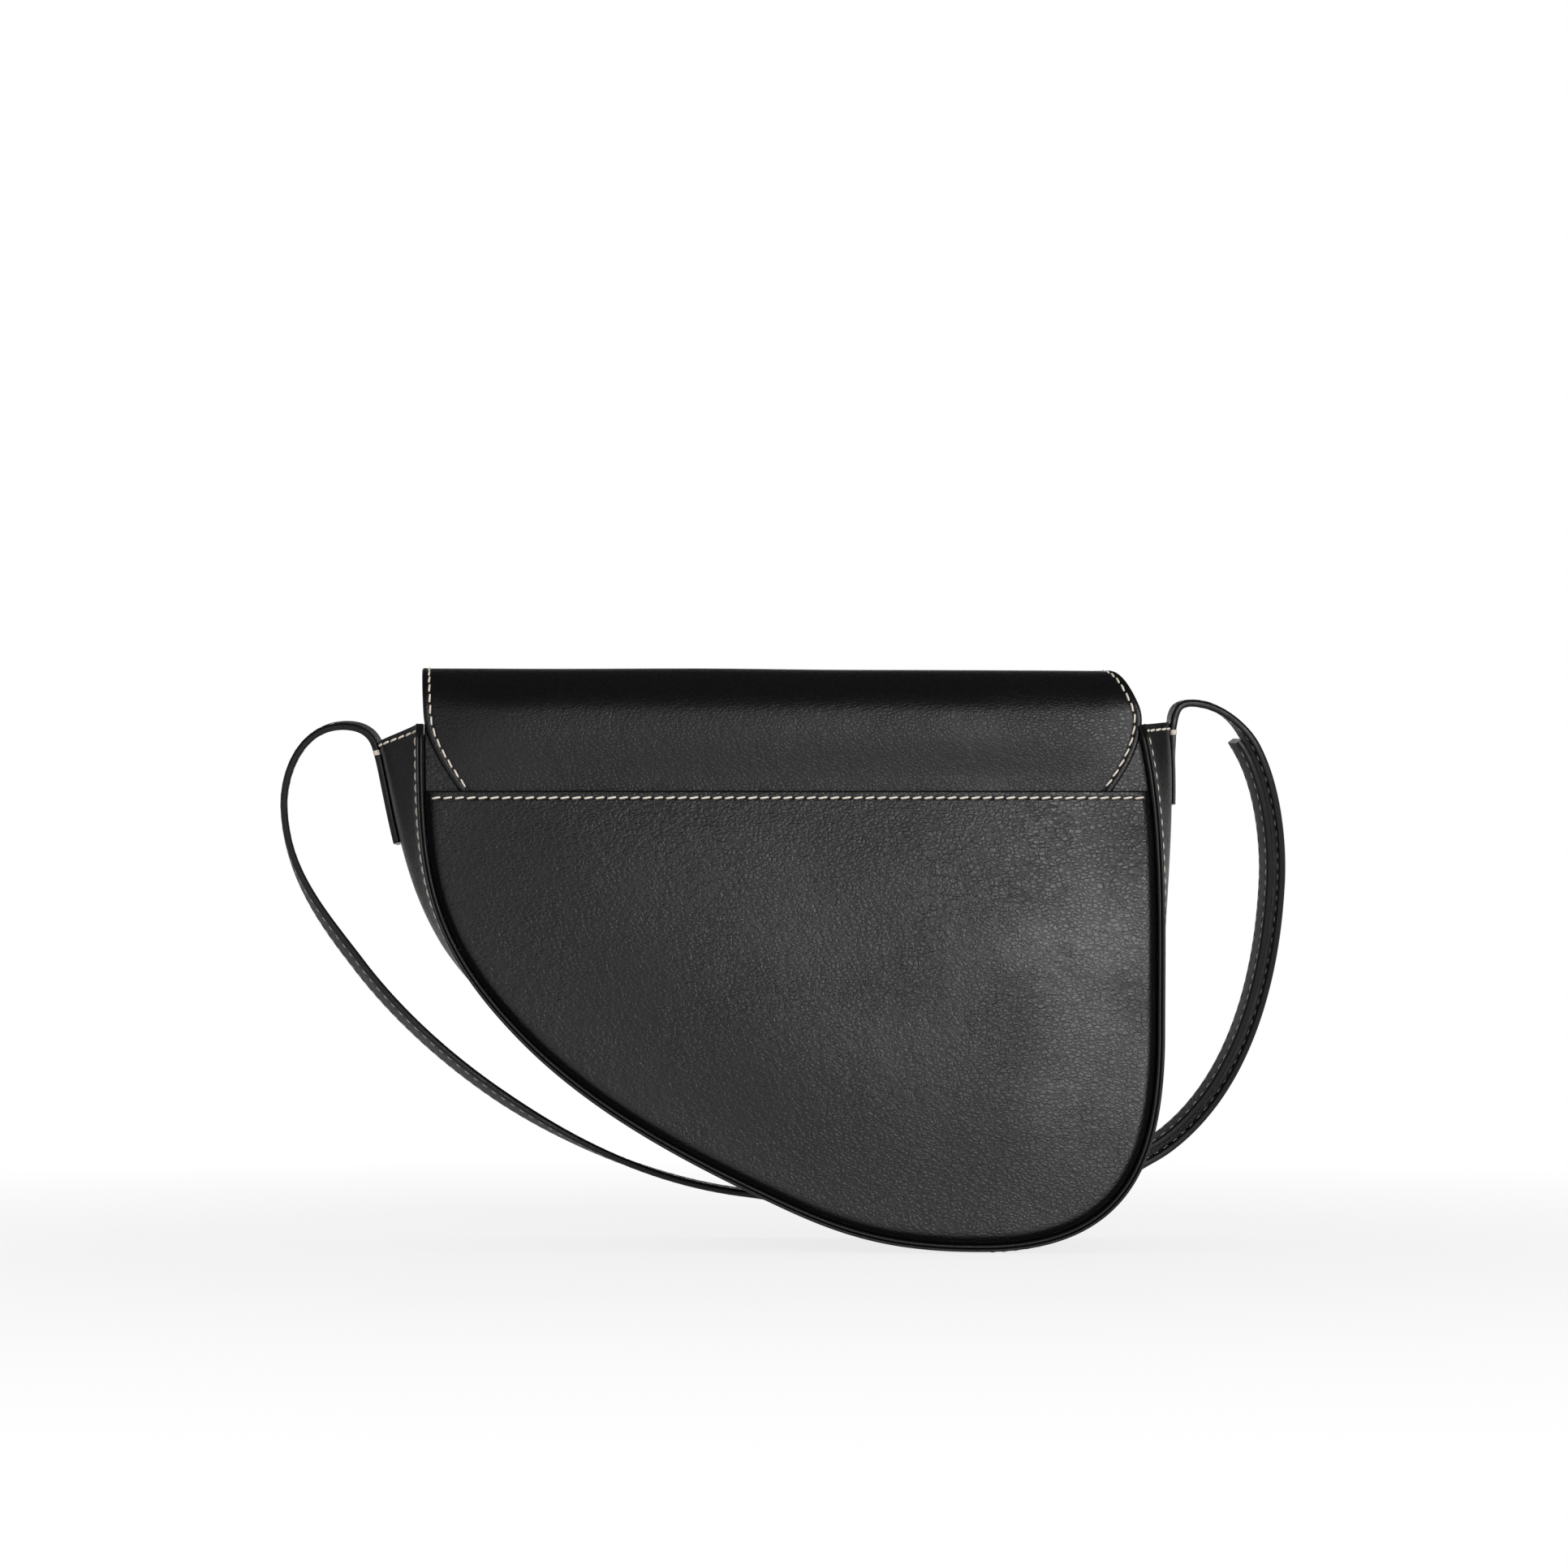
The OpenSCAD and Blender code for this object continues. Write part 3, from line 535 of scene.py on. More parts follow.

# %% [markdown]
# ### Cream waxed thread
# Three plies of polyester are twisted and waxed. The twist shows as slanting ridges, about
# one turn in 2.4 mm, and wax leaves a dull sheen. The grooves between the ridges are painted
# darker than the crests, as painted shade. The ridges follow each stitch's own attribute: the
# distance along the seam and the angle round the thread.

# %% Cream waxed thread
PLY_TURN = 2.4
PLIES = 3
PLY_DEEP = 0.06
thread_cream, thread_tree = new_finish("waxed_thread_cream")
thread_lay = node(thread_tree, "Attribute", attribute_name="lay").outputs["Vector"]
thread_parts = node(thread_tree, "SeparateXYZ", (thread_lay,))
ply_run = (thread_parts.outputs["X"], PLIES * 2 * math.pi / PLY_TURN)
ply_run = node(thread_tree, "Math", ply_run, operation="MULTIPLY")
ply_angle = (thread_parts.outputs["Y"], PLIES, ply_run)
ply_angle = node(thread_tree, "Math", ply_angle, operation="MULTIPLY_ADD")
ply_wave = node(thread_tree, "Math", (ply_angle,), operation="SINE")
ply_bump = {"Height": ply_wave, "Distance": PLY_DEEP * MM, "Strength": 0.8}
ply_bump = node(thread_tree, "Bump", ply_bump)
# Painted shade: the colour is darker in the grooves between the plies than on their crests.
ply_painted_shade = node(thread_tree, "MapRange", (ply_wave, -1.0, 1.0))
thread_mix = {0: ply_painted_shade, 6: linear("#ddd0be"), 7: linear("#f6efe4")}
thread_mix = node(thread_tree, "Mix", thread_mix, data_type="RGBA")
thread_wax = {"Base Color": thread_mix.outputs[2], "Roughness": 0.55, "Normal": ply_bump}
thread_shader = node(thread_tree, "BsdfPrincipled", thread_wax)
node(thread_tree, "OutputMaterial", (thread_shader,))

# %% [markdown]
# ### Cotton twill lining
# The lining is a brown cotton twill. Its slanting ribs are 0.7 mm apart and follow the cloth,
# so they are drawn on each point's place on the flat cloth. A second, finer wave across the
# ribs is the weft. The colour is darker in the grooves of the weave than on its crests, as
# painted shade.

# %% Cotton twill lining
RIB = 0.7
RIB_DEEP = 0.07
WEFT_SHARE = 0.4
lining_twill, twill_tree = new_finish("cotton_twill_brown")
twill_lay = node(twill_tree, "Attribute", attribute_name="lay").outputs["Vector"]
cloth_x, cloth_y = node(twill_tree, "SeparateXYZ", (twill_lay,)).outputs[:2]
rib_sum = node(twill_tree, "Math", (cloth_x, cloth_y), operation="ADD")
rib_turn = node(twill_tree, "Math", (rib_sum, 2 * math.pi / RIB), operation="MULTIPLY")
weft_turn = node(twill_tree, "Math", (cloth_y, 4 * math.pi / RIB), operation="MULTIPLY")
rib_wave = node(twill_tree, "Math", (rib_turn,), operation="SINE")
weft_wave = node(twill_tree, "Math", (weft_turn,), operation="SINE")
weave = node(twill_tree, "Math", (weft_wave, WEFT_SHARE, rib_wave), operation="MULTIPLY_ADD")
twill_bump = node(twill_tree, "Bump", {"Height": weave, "Distance": RIB_DEEP * MM})
# Painted shade: the colour is darker in the grooves of the weave than on its crests.
weave_painted_shade = node(twill_tree, "MapRange", (weave, -1.2, 1.2))
twill_mix = {0: weave_painted_shade, 6: linear("#51443a"), 7: linear("#76665a")}
twill_mix = node(twill_tree, "Mix", twill_mix, data_type="RGBA")
twill_cotton = {"Base Color": twill_mix.outputs[2], "Roughness": 0.85, "Normal": twill_bump}
twill_fuzz = {"Sheen Weight": 0.2, "Sheen Roughness": 0.5}
twill_shader = node(twill_tree, "BsdfPrincipled", twill_cotton | twill_fuzz)
node(twill_tree, "OutputMaterial", (twill_shader,))

# %% [markdown]
# ### Bag board and light brass
# Bag board is pressed from leather fibre: light brown, dull and flecked. The buckle and the
# snap are plated in a light brass and polished, with hairline scratches from handling.

# %% Bag board
FLECK = 1.2
FLECK_DEEP = 0.1
bag_board, board_tree = new_finish("pressed_fibre_board")
board_place = node(board_tree, "TexCoord").outputs["Object"]
flecks = node(board_tree, "TexNoise", {"Vector": board_place, "Scale": per_mm(FLECK), "Detail": 6.0})
fleck_share = node(board_tree, "MapRange", (flecks, 0.35, 0.65))
board_mix = {0: fleck_share, 6: linear("#9a835c"), 7: linear("#c4ad84")}
board_mix = node(board_tree, "Mix", board_mix, data_type="RGBA")
board_bump = node(board_tree, "Bump", {"Height": flecks, "Distance": FLECK_DEEP * MM})
board_fibre = {"Base Color": board_mix.outputs[2], "Roughness": 0.9, "Normal": board_bump}
board_shader = node(board_tree, "BsdfPrincipled", board_fibre)
node(board_tree, "OutputMaterial", (board_shader,))

# %% Light brass
HAIR = 0.4
HAIR_DRAWN = (1.0, 0.08, 1.0)
HAIR_DEEP = 0.006
light_brass, brass_tree = new_finish("light_brass_polished")
brass_place = node(brass_tree, "TexCoord").outputs["Object"]
hairs_way = node(brass_tree, "Mapping", {"Vector": brass_place, "Scale": HAIR_DRAWN})
hairs = node(brass_tree, "TexNoise", {"Vector": hairs_way, "Scale": per_mm(HAIR), "Detail": 4.0})
brass_gloss = node(brass_tree, "MapRange", (hairs, 0.3, 0.7, 0.16, 0.3))
brass_bump = node(brass_tree, "Bump", {"Height": hairs, "Distance": HAIR_DEEP * MM})
brass_metal = {"Base Color": linear("#d8b878"), "Metallic": 1.0}
brass_polish = {"Roughness": brass_gloss, "Normal": brass_bump}
brass_shader = node(brass_tree, "BsdfPrincipled", brass_metal | brass_polish)
node(brass_tree, "OutputMaterial", (brass_shader,))
print("finishes:", sorted(material.name for material in bpy.data.materials))


# %% [markdown]
# ## Gusset
# The gusset is one strip round the sides and the bottom. It is sewn between the rims, so it
# stands straight up in them, sags a little between them along the bottom, and is drawn out
# where the strap pulls on its upper ends. Its surface is a function of the distance along the
# outline and of the depth.

# %% Surface of the gusset
SEAM_Y = 32.6
GUSSET_FLAT = STRAP_W / 2 + 1
GUSSET_FOOT = 32.0
GUSSET_SAG = 1.4
LEFT_START, RIGHT_START = 0.4, 0.32
LEFT_BULGE, RIGHT_BULGE = 15.5, 10.5
LEFT_POWER, RIGHT_POWER = 1.3, 2.0
LEFT_DIP, RIGHT_DIP = 0.35, 0.1
LOW_END, LOW_FADE = 100.0, 35.0


def channel(distance, depth=0.32, wide=0.42):
    """Depth of the channel that a line of stitches presses into the leather: depth times
    e to the power of minus the square of the distance over its width."""
    return depth * np.exp(-((distance / wide) ** 2))


def gusset_point(place, outward, y, inset):
    """place + outward * (bulge * share(y) - sag * share(y) - inset), lowered at the mouth. The
    bulge grows with a power of the height, and share falls from 1 at the strap to 0 at the rim."""
    right = place[..., 0] >= BODY_W / 2
    low = 1 - smooth((place[..., 1] - LOW_END) / LOW_FADE)
    groove = channel(np.abs(y) - SEAM_Y, 0.35, 0.55) * low * (inset < 0.3)
    start = np.where(right, RIGHT_START, LEFT_START) * BODY_H
    climb = np.clip((place[..., 1] - start) / (BODY_H - start), 0, 1)
    grown = climb ** np.where(right, RIGHT_POWER, LEFT_POWER)
    bulge = np.where(right, RIGHT_BULGE, LEFT_BULGE) * grown
    across = np.clip((np.abs(y) - GUSSET_FLAT) / (GUSSET_FOOT - GUSSET_FLAT), 0, 1)
    share = (1 + np.cos(np.pi * across)) / 2
    sag = GUSSET_SAG * (1 - smooth(climb * 3)) * share
    out = bulge * share - sag - inset - groove
    dip = bulge * np.where(right, RIGHT_DIP, LEFT_DIP) * grown**6 * share
    x = place[..., 0] + out * outward[..., 0]
    z = place[..., 1] + out * outward[..., 1] - dip
    return np.stack([x, np.broadcast_to(y, x.shape), z], axis=-1)


GUSSET_PATH = evenly(OUTLINE, 440)
GUSSET_RUN = tape(GUSSET_PATH)
GUSSET_OUT = read_off(OUTLINE, OUTWARD, GUSSET_RUN * tape(OUTLINE)[-1] / GUSSET_RUN[-1])
end_way = np.minimum(GUSSET_RUN, GUSSET_RUN[-1] - GUSSET_RUN)
RIM_KEEP = 1 - 0.3 * (1 - smooth(end_way / 5))


def rim_depth(y):
    """Depth in the rims, which are skived down over the last 5 mm at the mouth."""
    beyond = np.maximum(np.abs(y) - HALF_D, 0)
    return np.sign(y) * (np.minimum(np.abs(y), HALF_D) + beyond * RIM_KEEP[:, None])


def strip_round_bag(name, half, across, inset, thick, materials, lay_wanted=False):
    """A strip of that half width and thickness that follows the gusset's surface at an inset."""
    places, layers = strip_section(half, across, thick)
    y = rim_depth(np.broadcast_to(places, (len(GUSSET_PATH), len(places))))
    points = gusset_point(GUSSET_PATH[:, None], GUSSET_OUT[:, None], y, inset + layers * thick)
    lay = np.stack([np.broadcast_to(GUSSET_RUN[:, None], y.shape), y, 0 * y], axis=-1)
    return band(name, points, section_marks(layers), materials, lay if lay_wanted else None)


rim_rows = np.array([28, 29.2, 30.2, 31.2, 31.8, 32.1, 32.35, 32.6, 32.85, 33.1, 33.4, 34, 34.8, 35.46])
gusset_rows = np.concatenate([-rim_rows[::-1], np.linspace(-26.8, 26.8, 40), rim_rows])
gusset_leather = strip_round_bag(
    "gusset_leather", RIM_Y, gusset_rows, 0.0, GUSSET, [leather_smooth, painted_edge]
)
belongs(gusset_leather, "pouch", "black_leather", "gusset")

gusset_cloth = strip_round_bag(
    "gusset_lining_cloth",
    26.7,
    np.linspace(-26.4, 26.4, 40),
    GUSSET + 0.4,
    LINING,
    [lining_twill, lining_twill],
    True,
)
belongs(gusset_cloth, "pouch", "lining_cloth", "gusset_lining")


# %% [markdown]
# ## Welts
# Between gusset and panel a narrow strip fills each rim, so that three painted layers stand
# side by side as a ridge. It is the same kind of strip, standing on its edge.

# %% Welts of the two rims
def welt_strip(name, side, node_name):
    """A strip that stands in a rim: it goes along the outline, from the panel to the rim."""
    middle, half = 32.3, 3.55
    flat = half - EDGE_SHARE * WELT
    places, layers = strip_section(half, np.linspace(-flat, flat, 6), WELT)
    y = side * rim_depth(np.broadcast_to(middle + places, (len(GUSSET_PATH), len(places))))
    inset = GUSSET + SEAM_GAP + layers * WELT
    points = np.stack(
        [
            GUSSET_PATH[:, None, 0] - inset * GUSSET_OUT[:, None, 0],
            y,
            GUSSET_PATH[:, None, 1] - inset * GUSSET_OUT[:, None, 1],
        ],
        axis=-1,
    )
    welt = band(name, points, section_marks(layers), [leather_smooth, painted_edge])
    belongs(welt, "pouch", "painted_edge", node_name)


welt_strip("back_rim_welt", -1, "back_welt")
welt_strip("front_rim_welt", 1, "front_welt")


# %% [markdown]
# ## Panels and slip pocket
# The two panels and the slip pocket share the outline. Each is a sheet with a rounded edge.
# The pocket is pulled down into the seam beside the rim, which leaves a dark groove there, and
# swells gently towards its middle. A line of stitches presses a shallow channel below its
# mouth. All this is one depth for each point, from its distance to the rim and to the mouth.

# %% Loops and depths of the panels
SIDE_COUNT = 330
TOP_COUNT = 130


def panel_loop(inset, top):
    """Closed loop: the outline moved inwards and cut off at a height, and the straight edge."""
    curve = LONG_OUTLINE - inset * LONG_OUTWARD
    low = int(np.argmin(curve[:, 1]))
    number = np.arange(len(curve))
    first = np.interp(-top, -curve[: low + 1, 1], number[: low + 1])
    last = np.interp(top, curve[low:, 1], number[low:])
    run = tape(curve)
    start, end = np.interp([first, last], number, run)
    sides = read_off(curve, curve, np.linspace(start, end, SIDE_COUNT))
    share = np.linspace(0, 1, TOP_COUNT + 2)[1:-1, None]
    return np.vstack([sides, sides[-1] + (sides[0] - sides[-1]) * share])


def rim_distance(places):
    """Distance of each place from the nearest point of the outline."""
    flat = places.reshape(-1, 2)
    parts = np.array_split(flat, max(1, len(flat) // 4000))
    found = [
        np.sqrt(((part[:, None] - OUTLINE[None]) ** 2).sum(axis=-1).min(axis=1)) for part in parts
    ]
    return np.concatenate(found).reshape(places.shape[:-1])


def slow_waves(x, z, tall):
    """Slight unevenness of a hand-made panel: three slow waves that run across each other."""
    return tall * (
        np.sin(x / 23 + z / 41) + 0.8 * np.sin(z / 19 - x / 57 + 1) + 0.6 * np.sin(x / 13 + 2 + z / 31)
    ) / 2.4


PANEL_INSETS = [0, 0.3, 0.7, 1.1, 1.4, 1.65, 1.9, 2.15, 2.4, 2.8, 3.4, 4.4, 6, 8, 11]
PANEL_SHARES = [0.07, 0.16, 0.26, 0.36, 0.46, 0.56, 0.66, 0.76, 0.86, 0.95]


def panel_sheet(name, top, depth_at, thick, side, materials, lay_wanted=False):
    """A sheet inside the outline: depth_at gives its outer surface from places and rim distance."""
    core = np.array([0.56 * BODY_W, 0.52 * top])
    places, layers, _, edge_rows = sheet_rings(
        lambda d: panel_loop(PANEL_INSET + d, top - d), core, PANEL_INSETS, PANEL_SHARES, thick
    )
    depth = depth_at(places, rim_distance(places)) - thick * layers
    points = np.stack([places[..., 0], side * depth, places[..., 1]], axis=-1)
    lay = np.concatenate([places, 0 * places[..., :1]], axis=-1)
    return plate(name, points, edge_rows, materials, lay if lay_wanted else None)


# %% Slip pocket on the back
STITCH_DROP = 2.5
POCKET_Y = 33.0
POCKET_DIP = 1.6
POCKET_CROWN = 2.4
POCKET_WAVE = 0.3
POCKET_LIP = 0.3


def pocket_depth(places, rim):
    """33 mm, less the dip into the seam, plus a crown of 2.4 mm and slow waves, less a channel."""
    x, z = places[..., 0], places[..., 1]
    dip = POCKET_DIP * np.exp(-(((rim - PANEL_INSET) / 2.1) ** 2))
    crown = POCKET_CROWN * smooth((rim - 3) / 60)
    crown = crown + slow_waves(x, z, POCKET_WAVE) * smooth((rim - 6) / 25)
    lip = POCKET_LIP * smooth((rim - 8) / 40) * smooth((z - MOUTH_Z + 22) / 22)
    leather = POCKET_Y - dip + crown * smooth((MOUTH_Z + 12 - z) / 40) + lip
    return leather - channel(MOUTH_Z - z - STITCH_DROP)


back_pocket = panel_sheet(
    "back_pocket_leather", MOUTH_Z, pocket_depth, LEATHER, -1, [leather_panel, painted_edge]
)
belongs(back_pocket, "pouch", "black_leather", "back_pocket")

# %% Back and front panels
FRONT_CROWN = 0.6
back_panel = panel_sheet(
    "back_panel_leather",
    BODY_H,
    lambda places, rim: HALF_D + 0 * rim,
    LEATHER,
    -1,
    [leather_panel, painted_edge],
)
front_panel = panel_sheet(
    "front_panel_leather",
    BODY_H,
    lambda places, rim: HALF_D + FRONT_CROWN * smooth((rim - 4) / 40),
    LEATHER,
    1,
    [leather_panel, painted_edge],
)
for panel, node_name in ((back_panel, "back_panel"), (front_panel, "front_panel")):
    belongs(panel, "pouch", "black_leather", node_name)

# %% Linings of the two panels
LINING_Y = 27.45
LINING_WAVE = 0.25


def lining_depth(places, rim):
    """27.45 mm, less slow waves that fade out towards the rim."""
    waves = slow_waves(places[..., 0], places[..., 1], LINING_WAVE)
    return LINING_Y - waves * smooth((rim - 5) / 15)


for name, side, node_name in (
    ("back_lining_cloth", -1, "back_lining"),
    ("front_lining_cloth", 1, "front_lining"),
):
    cloth = panel_sheet(
        name,
        BODY_H - 1.0,
        lining_depth,
        LINING,
        side,
        [lining_twill, lining_twill],
        lay_wanted=True,
    )
    belongs(cloth, "pouch", "lining_cloth", node_name)

# %% [markdown]
# ## Inner pocket
# A flat patch of lining cloth is sewn on the back lining, with a strip of leather round its
# mouth. Both are sheets whose loop is a rounded rectangle, drawn as a superellipse: its two
# coordinates are the cosine and the sine of an angle, each to a small power.

# %% Inner pocket and its trim
POCKET_MIDDLE = np.array([0.52 * BODY_W, 0.38 * BODY_H + 37.5])
BOX_COUNT = 200
BOX_POWER = 0.18


def box_loop(middle, half_wide, half_high):
    """Superellipse: the cosine and sine of an angle, each to a small power, times half a side."""
    angle = np.linspace(0, 2 * np.pi, BOX_COUNT, endpoint=False) + np.pi / 4
    wave = np.stack([np.cos(angle), np.sin(angle)], axis=-1)
    return middle + np.sign(wave) * np.abs(wave) ** BOX_POWER * np.array([half_wide, half_high])


def patch(name, middle, half_wide, half_high, surface_y, thick, belly, materials, slot_name, node_name):
    """A sheet on the back lining whose middle stands off by a belly."""
    places, layers, _, edge_rows = sheet_rings(
        lambda d: box_loop(middle, half_wide - d, half_high - d),
        middle,
        [0, 0.5, 1.2, 2.5, 4],
        [0.2, 0.4, 0.6, 0.8, 0.93],
        thick,
    )
    off = np.abs((places - middle) / [half_wide, half_high]).max(axis=-1)
    y = surface_y + belly * smooth((1 - off) / 0.6) + thick * (1 - layers)
    points = np.stack([places[..., 0], y, places[..., 1]], axis=-1)
    lay = np.concatenate([places, 0 * y[..., None]], axis=-1)
    made = plate(name, points, edge_rows, materials, lay)
    belongs(made, "pouch", slot_name, node_name)


patch(
    "inner_pocket_cloth", POCKET_MIDDLE, 65, 37.5, -26.2, 0.6, 0.7, [lining_twill, lining_twill],
    "lining_cloth", "inner_pocket",
)
patch(
    "inner_pocket_edging", POCKET_MIDDLE + [0, 32.5], 65, 5, -25.3, 0.7, 0.1,
    [leather_smooth, painted_edge], "black_leather", "inner_pocket_trim",
)


# %% [markdown]
# ## Flap
# The flap is one piece of leather in reality. It bends at two places when it opens: where it
# leaves the back and where it turns down the front. So it is made in two halves that meet in
# the middle of the top. Both are worked out on the flat leather first, across the width and
# down from the middle of the top, and are then laid over the top: straight, round a quarter
# circle, and down.

# %% Laying flat leather over the top
MIDDLE_Y = (FLAP_FRONT_Y - FLAP_BACK_Y) / 2
FLAT_HALF = (FLAP_FRONT_Y + FLAP_BACK_Y) / 2 - CORNER_R
ARC_END = FLAT_HALF + CORNER_R * np.pi / 2
HINGE_W = ARC_END + FLAP_TOP - CORNER_R - HINGE_Z
REAR_BELLY = 2.2
TOP_SLUMP = 0.9
TOP_RIPPLE = 0.22


def over_top(x, w, depth, side):
    """Place of a point at x across and w down from the middle of the top, at a depth under the
    outer surface. The rear face bellies out by 2.2 mm and the top slumps to the right."""
    turn = np.clip((w - FLAT_HALF) / CORNER_R, 0, np.pi / 2)
    drop = np.maximum(w - ARC_END, 0)
    radius = CORNER_R - depth
    y = np.minimum(w, FLAT_HALF) + radius * np.sin(turn)
    z = FLAP_TOP - CORNER_R + radius * np.cos(turn) - drop
    if side < 0:
        belly = REAR_BELLY * np.sin(np.pi * np.clip((w - FLAT_HALF - 8) / 47, 0, 1)) ** 2
        y = y + belly * smooth((x - FLAP_LEFT + 6) / 30) * smooth((FLAP_RIGHT + 4 - x) / 30)
    slump = TOP_SLUMP * smooth((x - 70) / 190) * (1 - smooth((w - FLAT_HALF) / 28))
    ripple = slow_waves(x, w * 1.7, TOP_RIPPLE) * smooth((x - 12) / 30) * smooth((250 - x) / 30)
    y = MIDDLE_Y + side * (y + ripple * np.sin(turn))
    return np.stack([x, y, z - slump - ripple * np.cos(turn)], axis=-1)


CROWN_W = np.linspace(0, HINGE_W, 60)
TOP_LEFT, TOP_RIGHT = 0.6, 248.7


def edge_path(low_part, count):
    """The half flap's whole edge: down its left side, along low_part and up its right side.
    Over the crown each side moves from low_part's end to its place on the top."""
    climb = np.minimum((ARC_END - CROWN_W) / (ARC_END - FLAT_HALF), 1) * 0.93
    climb = np.clip(climb, 0, 1) + 0.07 * smooth((FLAT_HALF - CROWN_W) / FLAT_HALF)
    left_x = low_part[0, 0] + (TOP_LEFT - low_part[0, 0]) * climb
    right_x = low_part[-1, 0] + (TOP_RIGHT - low_part[-1, 0]) * climb
    left = np.stack([left_x, CROWN_W], axis=-1)
    right = np.stack([right_x, CROWN_W], axis=-1)[::-1]
    low = np.stack([low_part[:, 0], HINGE_W + HINGE_Z - low_part[:, 1]], axis=-1)
    path = evenly(np.vstack([left[:-1], low[1:-1], right[1:]]), 900)
    soft = 9
    padded = np.vstack([2 * path[0] - path[soft:0:-1], path, 2 * path[-1] - path[-2 : -soft - 2 : -1]])
    weights = np.ones(2 * soft + 1) / (2 * soft + 1)
    path = np.stack([np.convolve(column, weights, "valid") for column in padded.T], axis=-1)
    path[[0, -1], 1] = 0
    return evenly(path, count)


def inner_edge(path, inset):
    """The edge moved inwards, with its two ends kept on the cut over the top."""
    moved = path + inset * right_of(path)
    moved[[0, -1], 1] = 0
    moved[:, 1] = np.maximum(moved[:, 1], 0)
    return moved


FLAP_INSETS = [0, 0.3, 0.7, 1.1, 1.4, 1.7, 1.95, 2.2, 2.5, 2.9, 3.5, 4.5, 6.5, 9, 12]
FLAP_SHARES = [0.1, 0.22, 0.34, 0.46, 0.58, 0.7, 0.8, 0.89, 0.95, 0.985]
FLAP_STITCH = 2.6


def flap_sheet(name, path, tip, side, thick, under, inset, materials, stitched, lay_wanted=False):
    """Half of the flap's leather or lining, from its edge path on the flat leather."""
    core_w = np.minimum(path[:, 1], tip[1])
    core = np.stack([135 + (tip[0] - 135) * core_w / tip[1], core_w], axis=-1)
    places, layers, depths, edge_rows = sheet_rings(
        lambda d: inner_edge(path, inset + d), core, FLAP_INSETS, FLAP_SHARES, thick
    )
    press = channel(depths - FLAP_STITCH) * stitched
    swollen = 0.18 * np.exp(-(((depths - 1.2) / 0.8) ** 2)) * stitched
    depth = under + thick * layers + (press - swollen) * (1 - layers)
    points = over_top(places[..., 0], places[..., 1], depth, side)
    lay = np.concatenate([places, 0 * places[..., :1]], axis=-1)
    return half_flap(name, points, edge_rows, materials, lay if lay_wanted else None)


# %% Rear half of the flap
TAIL_LOW = 158.0
rear_low = np.vstack(
    [
        bezier(*np.array([[2.4, 192], [2.4, 183], [12.1, 169.2], [20.7, TAIL_LOW]]), 60),
        bezier(*np.array([[244, TAIL_LOW], [251.5, 168], [260.2, 178], [260.2, 192]]), 60),
    ]
)
REAR_EDGE = edge_path(rear_low, 300)


def across_hinge(piece):
    """Bakes the placing of a piece of the flap into its mesh."""
    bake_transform(piece)


flap_rear = flap_sheet(
    "flap_rear_leather", REAR_EDGE, (140, HINGE_W + 24), -1, LEATHER, 0.0, 0.0,
    [leather_flap, painted_edge], 1.0,
)
across_hinge(flap_rear)
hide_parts("flap_tail", "flap_crown")

# %% Front half of the flap
FLAP_KNOTS = [
    [FLAP_LEFT / BODY_W, HINGE_Z / BODY_H, -83, 0, 0.24],
    [0.165, 0.505, -39, 0.22, 0.18],
    [0.5, 0.285, -14, 0.18, 0.12],
    [0.73, 0.245, 0, 0.11, 0.2],
    [0.95, 0.53, 88, 0.17, 0.13],
    [FLAP_RIGHT / BODY_W, HINGE_Z / BODY_H, 93, 0.16, 0],
]
front_low = through(FLAP_KNOTS, 60)
FRONT_EDGE = edge_path(front_low, 420)
FRONT_TIP = (160, HINGE_W + 90)
flap_front = flap_sheet(
    "flap_front_leather", FRONT_EDGE, FRONT_TIP, 1, LEATHER, 0.0, 0.0,
    [leather_flap, painted_edge], 1.0,
)
across_hinge(flap_front)
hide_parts("flap_front")

# %% [markdown]
# The lining of the flap follows the leather at a distance: its rear half ends at the rear
# hinge, and its front half leaves room for a thin board above the snap. The board stops short
# of the fold, because a real one is cut back there so that the leather can bend.

# %% Lining of the flap
LINING_END = HINGE_Z - 1.0
LINING_INSET = 0.7
UNDER_REAR, UNDER_FRONT = 1.45, 2.02
lining_rear_low = np.stack(
    [np.linspace(FLAP_LEFT, FLAP_RIGHT, 40), np.full(40, LINING_END)], axis=-1
)
lining_rear = flap_sheet(
    "flap_lining_rear_cloth", edge_path(lining_rear_low, 260), (130, HINGE_W - 6), -1, LINING,
    UNDER_REAR, LINING_INSET, [lining_twill, lining_twill], 0.0, True,
)
belongs(lining_rear, "flap_crown", "lining_cloth", "flap_crown_lining")
lining_front = flap_sheet(
    "flap_lining_front_cloth", FRONT_EDGE, FRONT_TIP, 1, LINING,
    UNDER_FRONT, LINING_INSET, [lining_twill, lining_twill], 0.0, True,
)
across_hinge(lining_front)
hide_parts("flap_front_lining")

# %% Board of the flap
FOLD_ROOM = 14.0
BOARD_T = 0.5
BOARD_Y = 34.3
BOARD_INSET = 2.2
BOARD_MIDDLE = np.array([140.0, 120.0])
board_curve = front_low[front_low[:, 1] < HINGE_Z - FOLD_ROOM]


def board_loop(inset):
    """The front edge below the fold and the straight line that closes it, moved inwards."""
    low = evenly(board_curve - inset * right_of(board_curve), 220)
    top = low[-1] + (low[0] - low[-1]) * np.linspace(0, 1, 82)[1:-1, None]
    return np.vstack([low, top])


board_places, board_layers, _, board_edges = sheet_rings(
    lambda d: board_loop(BOARD_INSET + d), BOARD_MIDDLE, [0, 0.4, 1, 3], [0.3, 0.6, 0.9], BOARD_T
)
board_y = BOARD_Y - BOARD_T * board_layers + 0 * board_places[..., 0]
board_points = np.stack([board_places[..., 0], board_y, board_places[..., 1]], axis=-1)
flap_board = plate("flap_stiffener", board_points, board_edges, [bag_board, bag_board])
belongs(flap_board, "flap_front", "stiffener", "flap_front_board")

